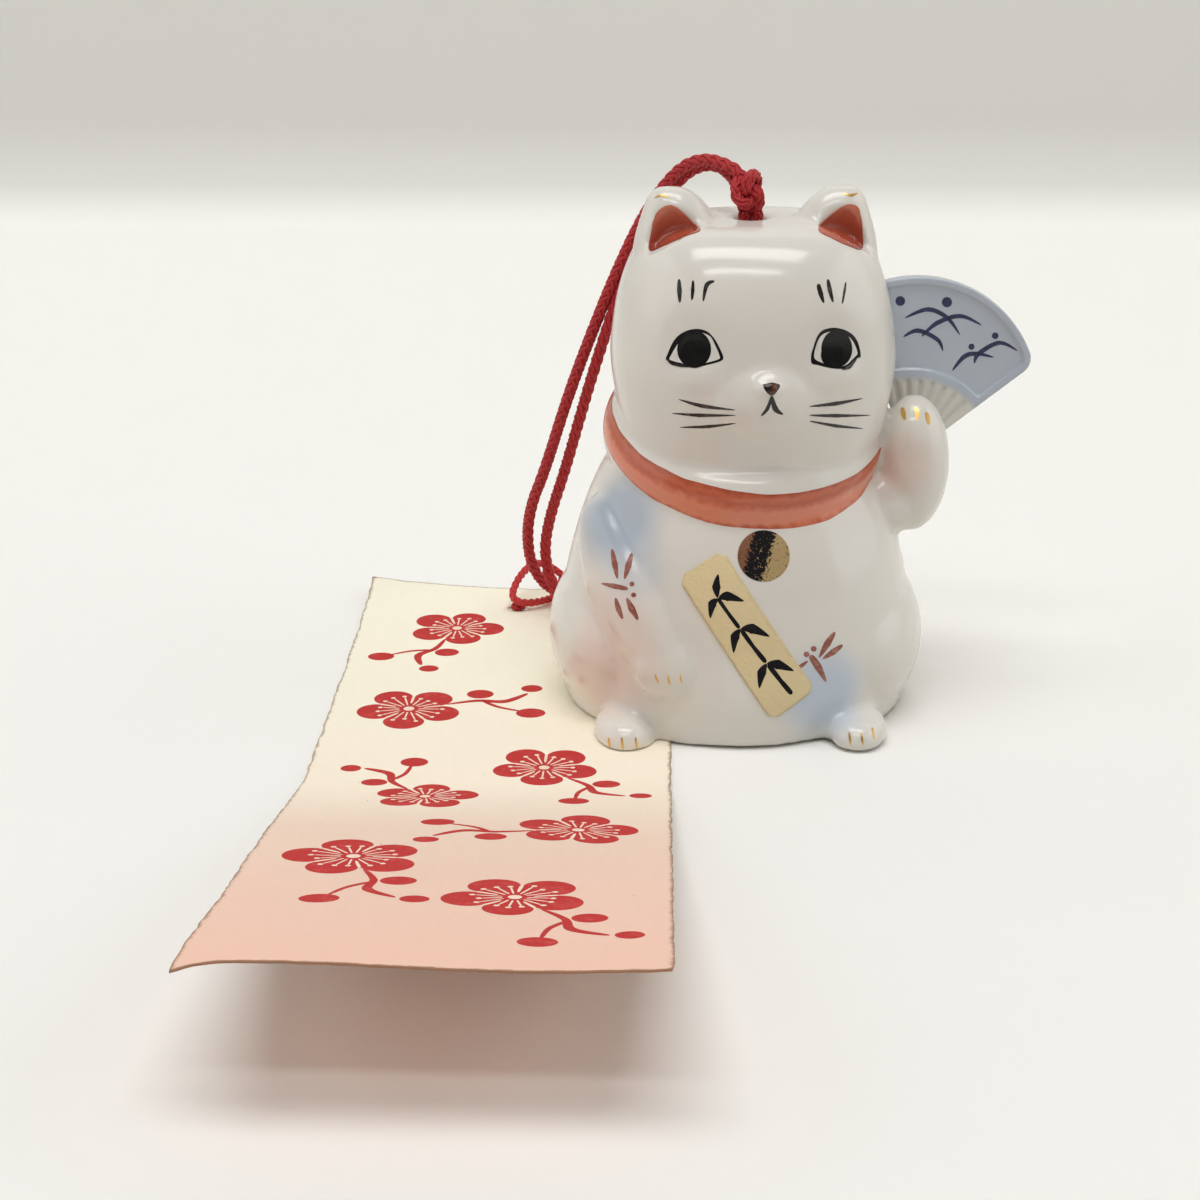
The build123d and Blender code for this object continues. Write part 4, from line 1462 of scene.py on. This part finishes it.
@dataclass
class Cordage:
    """A round braid: strands of a few yarns that wind both ways about a line, over two and under two."""

    name: str
    finish: Finish
    slot: Slot
    yarn_mm: float
    ring_mm: float
    wave_mm: float
    pitch_mm: float
    strands: int = 4
    yarns: int = 1
    step_mm: float = 0.36

    def strand_lines(self, line: Sequence[Vector]) -> list[list[tuple[Vector, float]]]:
        """Return each yarn's points, with how deep each lies, from 0 to 1.

        Args:
            line: even points, in metres.

        Returns:
            The yarns.
        """
        step = (line[1] - line[0]).length
        ahead = (line[1] - line[0]).normalized()
        side = ahead.orthogonal().normalized()
        frames = []
        for i, here in enumerate(line):
            tangent = (line[min(i + 1, len(line) - 1)] - line[max(i - 1, 0)]).normalized()
            side = (side - tangent * side.dot(tangent)).normalized()
            frames.append((here, side, tangent.cross(side)))
        lines = []
        for hand in (1, -1):
            for k in range(self.strands * self.yarns):
                strand, lane = divmod(k, self.yarns)
                start = 2 * math.pi * strand / self.strands
                start += (lane - (self.yarns - 1) / 2) * self.yarn_mm / self.ring_mm
                yarn = []
                for i, (here, right, up) in enumerate(frames):
                    turn = hand * 2 * math.pi * i * step / (self.pitch_mm * MM)
                    # Neighbours cross half a wave later, which stacks the stitches in chevrons
                    rise = hand * math.cos(math.pi * strand + self.strands * turn / 2 - math.pi / 4)
                    reach = (self.ring_mm + self.wave_mm * rise) * MM
                    angle = turn + start
                    place = here + (right * math.cos(angle) + up * math.sin(angle)) * reach
                    yarn.append((place, 0.5 - 0.5 * rise))
                lines.append(yarn)
        return lines

    def mesh(self, line: Sequence[Vector]) -> bpy.types.Mesh:
        """Return the strands along a line as one mesh.

        Args:
            line: even points, in metres.

        Returns:
            The mesh.
        """
        curve = bpy.data.curves.new(self.name, "CURVE")
        curve.dimensions = "3D"
        curve.bevel_depth = self.yarn_mm / 2 * MM
        curve.bevel_resolution = 1
        curve.use_fill_caps = True
        lines = self.strand_lines(line)
        for strand in lines:
            spline = curve.splines.new("POLY")
            spline.points.add(len(strand) - 1)
            spline.points.foreach_set("co", [c for place, _ in strand for c in (*place, 1.0)])
        mesh = curve_mesh(curve)
        ring = len(mesh.vertices) // len(lines) // len(lines[0])
        depth = [d for strand in lines for _, d in strand for _ in range(ring)]
        # How deep each yarn lies, which the thread's finish turns into painted shade
        sunk = mesh.attributes.new("sunk", "FLOAT", "POINT")
        if len(depth) == len(mesh.vertices):
            sunk.data.foreach_set("value", depth)
        return mesh

    def along(self, points: Sequence[Vector]) -> tuple[bpy.types.Object, list[Vector]]:
        """Make the cord along a line.

        Args:
            points: the line, in metres.

        Returns:
            The piece, and the even points that it follows.
        """
        line = evenly(points, self.step_mm * MM)
        return new_piece(self.name, self.mesh(line), self.finish), line

    def tie(self, body: Body, points: Sequence[Vector], *nodes: str) -> None:
        """Make the cord along a line and ride it on a body.

        Args:
            body: the body that carries it.
            points: the line, in metres.
            nodes: the CAD nodes that it replaces.
        """
        settle(self.along(points)[0], body, self.slot, *nodes)


def braid(name: str) -> Cordage:
    """Return the crimson braid of eight strands, two yarns each."""
    return Cordage(name, CRIMSON_THREAD, Slot.CORD, 0.60, 0.62, 0.22, 8.4, yarns=2)


def twine(name: str, size: float = 1.0) -> Cordage:
    """Return the thin red string, a fine braid of eight strands."""
    sizes = (0.56 * size, 0.40 * size, 0.13 * size, 5.6 * size)
    return Cordage(name, RED_THREAD, Slot.STRING, *sizes, step_mm=0.3)


def trefoil(
    centre: Sequence[float], size: Sequence[float], turn: float = 0.0, roll: float = 0.0
) -> list[Vector]:
    """Return the line of a tight overhand knot.

    Args:
        centre: its middle, in millimetres.
        size: its half width, half depth and half height, to the line.
        turn: how far it is turned about the vertical, in radians.
        roll: how far its lobes are turned within its face, in radians.

    Returns:
        The knot's points, in metres.
    """
    spin = Matrix.Rotation(turn, 3, "Z")
    tip = Matrix.Rotation(roll, 3, "Y")
    points = []
    for k in range(KNOT_STEPS + 1):
        a = 2 * math.pi * k / KNOT_STEPS + KNOT_START
        reach = (1.0 + KNOT_LOBE * math.cos(3 * a)) / (1.0 + KNOT_LOBE)
        flat = Vector((reach * math.sin(2 * a), math.sin(3 * a), reach * math.cos(2 * a)))
        points.append((Vector(centre) + spin @ Vector([f * s for f, s in zip(tip @ flat, size)])) * MM)
    return points


@dataclass
class Cords:
    """The hanging cord, the strings and their knots."""

    hang_x: float = HANG_X
    apart: float = 1.02
    crown: float = 84.7
    ceiling: float = 81.7
    hanging_route: tuple[Place, ...] = (
        (0.9, 0.4, 90.0), (-0.7, 1.5, 92.0), (-3.0, 3.4, 93.0), (-6.0, 6.0, 93.5), (-9.6, 9.2, 91.9),
        (-12.8, 11.8, 88.1), (-16.0, 14.2, 83.0), (-19.9, 16.2, 74.6), (-24.0, 18.9, 64.2),
        (-29.4, 23.2, 49.0), (-34.2, 29.3, 32.0), (-37.2, 33.6, 23.6), (-38.0, 37.8, 15.0),
        (-36.6, 41.4, 7.6), (-32.4, 44.2, 2.6), (-25.2, 48.8, 1.3), (-17.2, 48.0, 1.2), (-12.5, 43.3, 1.2),
        (-12.5, 36.7, 1.2), (-17.2, 32.0, 1.2), (-25.0, 31.7, 1.3), (-30.6, 35.8, 2.8), (-34.0, 38.4, 8.6),
        (-34.6, 36.6, 15.4), (-33.0, 32.6, 23.6), (-30.4, 28.4, 32.4), (-26.2, 22.0, 49.2),
        (-21.8, 18.0, 64.4), (-18.2, 16.6, 74.2), (-14.6, 15.4, 82.0), (-11.4, 13.6, 87.4),
        (-8.2, 11.0, 91.0), (-4.8, 8.0, 92.4), (-2.0, 5.0, 91.4), (-0.2, 2.2, 88.8)
    )
    strip_route: tuple[Place, ...] = (
        (1.4, 0.0, 8.0), (1.4, 0.0, 4.6), (-0.4, 2.8, 1.6), (-4.4, 9.6, 1.0), (-9.6, 17.6, 1.0),
        (-10.9, 26.4, 1.0), (-9.6, 35.4, 1.0), (-9.0, 44.4, 1.0), (-13.6, 51.4, 1.0), (-21.0, 55.0, 1.2),
        (-28.8, 54.6, 1.9)
    )
    loop_route: tuple[Place, ...] = (
        (-31.6, 54.6, 3.2), (-34.2, 54.4, 5.6), (-37.4, 51.6, 6.6), (-40.0, 47.4, 5.0), (-41.4, 43.8, 2.4),
        (-39.8, 41.6, 1.7), (-36.8, 42.6, 1.4), (-33.8, 45.8, 1.1), (-31.8, 49.4, 1.2), (-30.8, 52.4, 1.7)
    )
    loop_bend: tuple[Place, Place] = ((-31.4, 53.4, 2.4), (-39.6, 44.2, 1.6))
    loop_knot: Place = (-30.6, 54.0, 2.1)
    strip_hole: Pixel = STRIP_HOLE

    @staticmethod
    def declare(
        piece: bpy.types.Object, line: Sequence[Vector], length: float, diameter: float, far_end: str
    ) -> None:
        """Do nothing with a limp cord that lies loose along a line.

        Args:
            piece: the cord; not used.
            line: the points that it follows, in metres; not used.
            length: its whole length; not used.
            diameter: its thickness; not used.
            far_end: what is on its far end; not used.
        """

    def hang(self) -> None:
        """Make the hanging cord, its knots and the strands through the crown."""
        knot = trefoil((self.hang_x - 0.5, 0.2, self.crown + 4.0), (2.1, 1.3, 3.2), 0.25, 0.6)
        braid("crown_knot_braid").tie(Body.BELL, knot, "crown_knot")
        cord, line = braid("hanging_braid").along(spline_points(self.hanging_route))
        settle(cord, Body.BELL, Slot.CORD, "hanging_cord")
        self.declare(cord, line, length=0.277, diameter=0.0022, far_end="object")
        for side, name, nodes in ((-self.apart, "left", ("cord_neck",)), (self.apart, "right", ())):
            ends = [Vector((self.hang_x + side, 0.0, z)) * MM for z in (self.ceiling - 0.6, self.crown + 0.9)]
            braid(f"neck_braid_{name}").tie(Body.BELL, ends, *nodes)
        knot = trefoil((self.hang_x, 0.0, self.ceiling - 3.7), (2.4, 1.9, 2.4), 0.9)
        braid("inner_knot_braid").tie(Body.BELL, knot, "inner_knot")

    def string(self) -> None:
        """Make the run to the strip, the loop in its hole and their knots."""
        run, line = twine("strip_run").along(spline_points(self.strip_route))
        settle(run, Body.BELL, Slot.STRING, "strip_string")
        knot = trefoil(self.loop_knot, (1.15, 0.95, 1.0), 0.6)
        twine("loop_tie", 0.8).tie(Body.BELL, knot, "loop_knot")
        self.declare(run, line, length=0.0757, diameter=0.0015, far_end="knot")
        loop, line = twine("strip_bight").along(spline_points(self.loop_route))
        flex(loop, (Body.BELL, Body.STRIP_TIE), "strip_loop")
        self.declare(loop, line, length=0.0345, diameter=0.0015, far_end="knot")
        knot = trefoil((*self.strip_hole, 0.35), (1.0, 0.9, 0.35), 0.3)
        twine("hole_tie", 0.62).tie(Body.STRIP_TIE, knot, "strip_knot")


@dataclass
class Clapper:
    """The bead inside the bell, its string and its knots."""

    hang_x: float = HANG_X
    hitch_z: float = 72.9
    swing_z: float = 70.45
    bead_bottom: float = 22.0
    tail_z: float = 8.0

    def place(self, z: float) -> Vector:
        """Return a place on the hanging axis, in metres."""
        return Vector((self.hang_x, 0.0, z)) * MM

    def build(self) -> None:
        """Make the hitch, the string, the knot under the bead and the tail."""
        knot = trefoil((self.hang_x, 0.0, self.hitch_z), (1.25, 1.1, 0.95))
        twine("clapper_hitch", 0.7).tie(Body.HITCH, knot, "string_hitch")
        ends = [self.place(self.swing_z + 0.6), self.place(self.bead_bottom)]
        twine("clapper_line").tie(Body.CLAPPER, ends, "clapper_string")
        knot = trefoil((self.hang_x, 0.0, self.bead_bottom - 1.4), (1.35, 1.2, 0.8), 1.1)
        twine("clapper_stop", 0.8).tie(Body.CLAPPER, knot, "clapper_knot")
        ends = [self.place(self.bead_bottom - 1.2), self.place(self.tail_z)]
        tail, _ = twine("clapper_tail_line").along(ends)
        bend = (self.place(self.bead_bottom - 2.6), self.place(self.tail_z))
        flex(tail, (Body.CLAPPER, Body.HITCH), "clapper_tail")
        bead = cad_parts["clapper"]
        bead.data.materials.clear()
        bead.data.materials.append(CLAY.material())
        LOG.info("clapper keeps its solid, dressed as bisque")


@dataclass
class PaperStrip:
    """The paper strip, laid under the bell and curling up at its near end, with printed plum blossom."""

    hole: Pixel = STRIP_HOLE
    yaw: float = math.radians(-1.5)
    width: float = 60.0
    far: float = 12.0
    flat: float = 86.0
    curl_run: float = 106.0
    curl_rise: float = 22.0
    bend: float = 96.0
    thick: float = 0.35
    top: float = -0.05
    hole_dia: float = 3.6
    cell: float = 1.0
    swell: float = 0.9
    near_droop: float = 1.4
    far_lift: float = 2.4
    torn: float = 0.5
    frays: tuple[Place, ...] = ((2.6, 7.7, 0.32), (11.0, 1.3, 0.35))
    petals: int = 5
    sprays: tuple[tuple[float, float, float, float], ...] = (
        (-11.0, -12.0, 9.0, 250.0), (-16.0, -54.0, 9.5, 15.0), (9.0, -80.0, 9.0, 305.0),
        (-9.0, -97.0, 8.5, 120.0), (16.0, -119.0, 9.5, 190.0), (-15.0, -138.0, 10.0, 285.0),
        (9.0, -158.0, 9.5, 300.0)
    )

    def rise(self, back: float) -> float:
        """Return how far the paper has curled up, back from the hole towards the near end.

        Args:
            back: the distance back, in millimetres.

        Returns:
            The height, in millimetres.
        """
        slope = math.atan2(self.curl_rise, self.curl_run)
        start = self.flat - self.bend * math.tan(slope / 2)
        if back <= start:
            return 0.0
        if back < start + self.bend * math.sin(slope):
            return self.bend - math.sqrt(self.bend**2 - (back - start) ** 2)
        return (back - self.flat) * math.tan(slope)

    def on_table(self, across: float, far: float) -> Vector:
        """Return the x and y of a place on the strip, in millimetres."""
        return Vector(self.hole) + Matrix.Rotation(self.yaw, 2) @ Vector((across, far))

    def warp(self, across: float, far: float) -> float:
        """Return the small lift of a worn, handled sheet at a place clear of the bell.

        Args:
            across: the place across the strip, in millimetres.
            far: the place along it.

        Returns:
            The lift, in millimetres.
        """
        clear = min(max((-far - 78.0) / 40.0, 0.0), 1.0)
        swell = noise.noise(Vector((across / 34.0, far / 46.0, 3.1))) * self.swell * clear
        corner = max(0.0, (-across - 22.0) / 8.0) * max(0.0, (-far - 182.0) / 10.0)
        far_corner = min(max(0.0, (6.0 - across) / 36.0), 1.0) * max(0.0, (far + 24.0) / 36.0)
        return swell - self.near_droop * corner * corner + self.far_lift * far_corner * far_corner

    def build(self) -> None:
        """Cut the paper, curl it, print it."""
        length = self.far + self.flat + self.curl_run
        bm = bmesh.new()
        bmesh.ops.create_grid(
            bm, x_segments=round(self.width / self.cell), y_segments=round(length / self.cell), size=0.5
        )
        bmesh.ops.scale(bm, vec=(self.width, length, 1.0), verts=bm.verts)
        bmesh.ops.translate(bm, vec=(0.0, self.far - length / 2, 0.0), verts=bm.verts)
        eye = [f for f in bm.faces if f.calc_center_median().xy.length < self.hole_dia / 2]
        bmesh.ops.delete(bm, geom=eye, context="FACES")
        rim = bm.verts.layers.float.new("rim_mm")
        for vert in bm.verts:
            across, far = vert.co.x, vert.co.y
            gaps = (self.width / 2 - abs(across), self.far - far, far - self.far + length)
            vert[rim] = max(min(gaps), 0.0)
            fray = sum(noise.noise(Vector((across / w, far / w, z))) * size for w, z, size in self.frays)
            if gaps[0] < self.torn:
                across -= math.copysign(abs(fray), across)
            if min(gaps[1:]) < self.torn:
                far += math.copysign(abs(fray), -1.0 if gaps[1] < gaps[2] else 1.0)
            height = self.top + self.rise(-far) + self.warp(across, far)
            vert.co = (*self.on_table(across, far), height)
        bmesh.ops.recalc_face_normals(bm, faces=bm.faces)
        thicken(bm, lambda vert: Vector((0.0, 0.0, -self.thick)))
        bmesh.ops.scale(bm, vec=(MM, MM, MM), verts=bm.verts)
        mesh = from_bmesh(bm, "paper_strip_sheet")
        sheet = settle(
            new_piece("paper_strip_sheet", mesh, STRIP_PAPER), Body.STRIP, Slot.STRIP_PAPER, "paper_strip"
        )
        self.print_sprays(Surface(mesh))

    def spray(self, across: float, far: float, size: float, heading: float) -> tuple[list, list]:
        """Return one spray of plum blossom.

        Args:
            across: the flower's place across the strip, in millimetres.
            far: its place along the strip.
            size: its petals' reach.
            heading: which way the twig leaves it, in degrees.

        Returns:
            The marks in ink, and the lines left bare.
        """
        draw = random.Random(round(across * 10 + far))

        def at(turn: float, reach: float, slip: float = 0.0) -> Pixel:
            """Return a place on the table about the flower.

            Args:
                turn: its turn from the heading, in degrees.
                reach: its distance, in petals' reaches.
                slip: how far it lies aside.

            Returns:
                Its x and y, in millimetres.
            """
            angle = math.radians(heading + turn)
            x = reach * math.cos(angle) - slip * math.sin(angle)
            y = reach * math.sin(angle) + slip * math.cos(angle)
            return tuple(self.on_table(across + size * x, far + size * y))

        span = 360 / self.petals
        reaches = [draw.uniform(0.93, 1.05) for _ in range(self.petals)]
        edge = []
        for k in range(24 * self.petals):
            turn = k * 15 / self.petals
            bow = abs(math.sin(math.radians(turn * self.petals / 2))) ** 0.5
            edge.append(at(turn, (0.50 + 0.50 * bow) * reaches[k // 24]))
        flower = Patch(tuple(edge), at(0.0, 0.0), steps=len(edge), across=8, smooth=False)
        twig = Stroke(
            (at(4, 0.7), at(0, 1.3, 0.10), at(0, 1.8, -0.05), at(0, 2.3, 0.25)), (0.7, 1.1, 1.5, 1.0),
            steps=30
        )
        offshoot = Stroke(
            (at(0, 1.4, 0.08), at(0, 1.62, -0.30), at(0, 2.0, -0.62)), (0.9, 0.8, 0.6), steps=16
        )
        buds = [
            oval(at(0, 2.14, -0.74), 0.27 * size, 0.23 * size),
            oval(at(0, 1.42, 0.42), 0.25 * size, 0.22 * size),
            oval(at(0, 2.42, 0.48), 0.20 * size, 0.18 * size)
        ]
        ink = [flower, twig, offshoot, *buds]
        bare: list[Stroke | Patch] = [oval(at(0.0, 0.0), 0.10 * size, 0.10 * size)]
        for k in range(self.petals):
            bare.append(Stroke((at(k * span, 0.26), at(k * span, 0.62)), (0.35, 0.6), steps=8, across=2))
            for lean in (-20.0, 0.0, 20.0):
                turn = (k + 0.5) * span + lean
                reach = draw.uniform(0.46, 0.60)
                bare.append(Stroke((at(turn, 0.17), at(turn, reach)), (0.30, 0.28), steps=8, across=2))
                bare.append(oval(at(turn, reach + 0.04), 0.42, 0.38, 6))
        return ink, bare

    def print_sprays(self, surface: Surface) -> None:
        """Print the sprays of plum blossom, with their stamens left bare.

        Args:
            surface: the paper's surface.
        """
        ink, bare = [], []
        for place in self.sprays:
            marks, lines = self.spray(*place)
            ink += marks
            bare += lines
        land = surface.from_above()
        Coat("blossom_print", RED_INK, Slot.STRIP_PAPER, Body.STRIP, 0.015, 0.05).lay(ink, land)
        Coat("blossom_stamens", BARE_PAPER, Slot.STRIP_PAPER, Body.STRIP, 0.03, 0.05).lay(bare, land)


@dataclass(frozen=True)
class Lamp:
    """One soft lamp, with its places and its size in metres."""

    name: str
    place: Place
    target: Place
    size: Pixel
    watts: float

    def hang(self) -> None:
        """Hang the lamp."""
        light = bpy.data.lights.new(self.name, "AREA")
        light.shape = "RECTANGLE"
        light.size, light.size_y = self.size
        light.energy = self.watts
        lamp = show(self.name, light)
        lamp.location = self.place
        aim = Vector(self.target) - Vector(self.place)
        lamp.rotation_euler = aim.to_track_quat("-Z", "Y").to_euler()


@dataclass
class Studio:
    """The pale sweep and the soft lights."""

    table_mm: float = -0.42
    back_mm: float = 494.0
    bend_mm: float = 34.0
    wall_mm: float = 900.0
    half_width_mm: float = 2200.0
    near_mm: float = -1600.0
    bend_steps: int = 16
    room_code: str = "#f4f3ef"
    room_strength: float = 0.17
    lamps: tuple[Lamp, ...] = (
        Lamp("front_strip_light", (-0.16, -0.92, 1.24), (-0.02, -0.05, 0.02), (1.00, 0.10), 3.0),
        Lamp("top_panel_light", (-0.10, -0.30, 1.60), (-0.04, -0.06, 0.0), (1.50, 0.60), 14.1),
        Lamp("left_panel_light", (-1.40, 0.06, 0.60), (-0.02, 0.0, 0.04), (1.80, 1.20), 5.6),
        Lamp("right_panel_light", (1.35, 0.06, 0.60), (0.0, 0.0, 0.04), (1.80, 1.20), 6.8),
    )

    def build(self) -> None:
        """Make the sweep, the lamps and the world, and set the view transform."""
        self.lay_sweep()
        for lamp in self.lamps:
            lamp.hang()
        world = bpy.data.worlds.new("soft_room")
        world.use_nodes = True
        ground = world.node_tree.nodes["Background"]
        ground.inputs["Color"].default_value = linear(self.room_code)
        ground.inputs["Strength"].default_value = self.room_strength
        bpy.context.scene.world = world
        bpy.context.scene.view_settings.view_transform = "Standard"

    def lay_sweep(self) -> None:
        """Lay the sweep under the object and up behind it."""
        bm = bmesh.new()
        start = bm.verts.new((-self.half_width_mm, self.near_mm, self.table_mm))
        edge = [start, bm.verts.new((-self.half_width_mm, self.back_mm - self.bend_mm, self.table_mm))]
        bm.edges.new(edge)
        centre = Vector((-self.half_width_mm, self.back_mm - self.bend_mm, self.table_mm + self.bend_mm))
        turn = {"axis": (1.0, 0.0, 0.0), "angle": math.pi / 2, "steps": self.bend_steps}
        bmesh.ops.spin(bm, geom=[edge[1]], cent=centre, use_merge=False, **turn)
        top = max(bm.verts, key=lambda v: v.co.y + v.co.z)
        last = bm.verts.new(top.co + Vector((0.0, 0.0, self.wall_mm)))
        bm.edges.new((top, last))
        swept = bmesh.ops.extrude_edge_only(bm, edges=bm.edges[:])
        verts = [g for g in swept["geom"] if isinstance(g, bmesh.types.BMVert)]
        bmesh.ops.translate(bm, vec=(2 * self.half_width_mm, 0.0, 0.0), verts=verts)
        bmesh.ops.recalc_face_normals(bm, faces=bm.faces)
        if sum(face.normal.z for face in bm.faces) < 0:
            bmesh.ops.reverse_faces(bm, faces=bm.faces)
        bmesh.ops.scale(bm, vec=(MM, MM, MM), verts=bm.verts)
        new_piece("sweep", from_bmesh(bm, "sweep"), SWEEP)


def main() -> None:
    """Build the camera and the cords, then the cat and the rest."""
    logging.basicConfig(level=logging.INFO, format="%(name)s: %(message)s")
    SIGHT.make_camera()
    cords = Cords()
    cords.hang()
    cords.string()
    cat = PaintedCat()
    cat.build()
    PaintedFan().build()
    PaperTag().build(cat.skin)
    Clapper().build()
    PaperStrip().build()
    Studio().build()


if __name__ == "__main__":
    main()
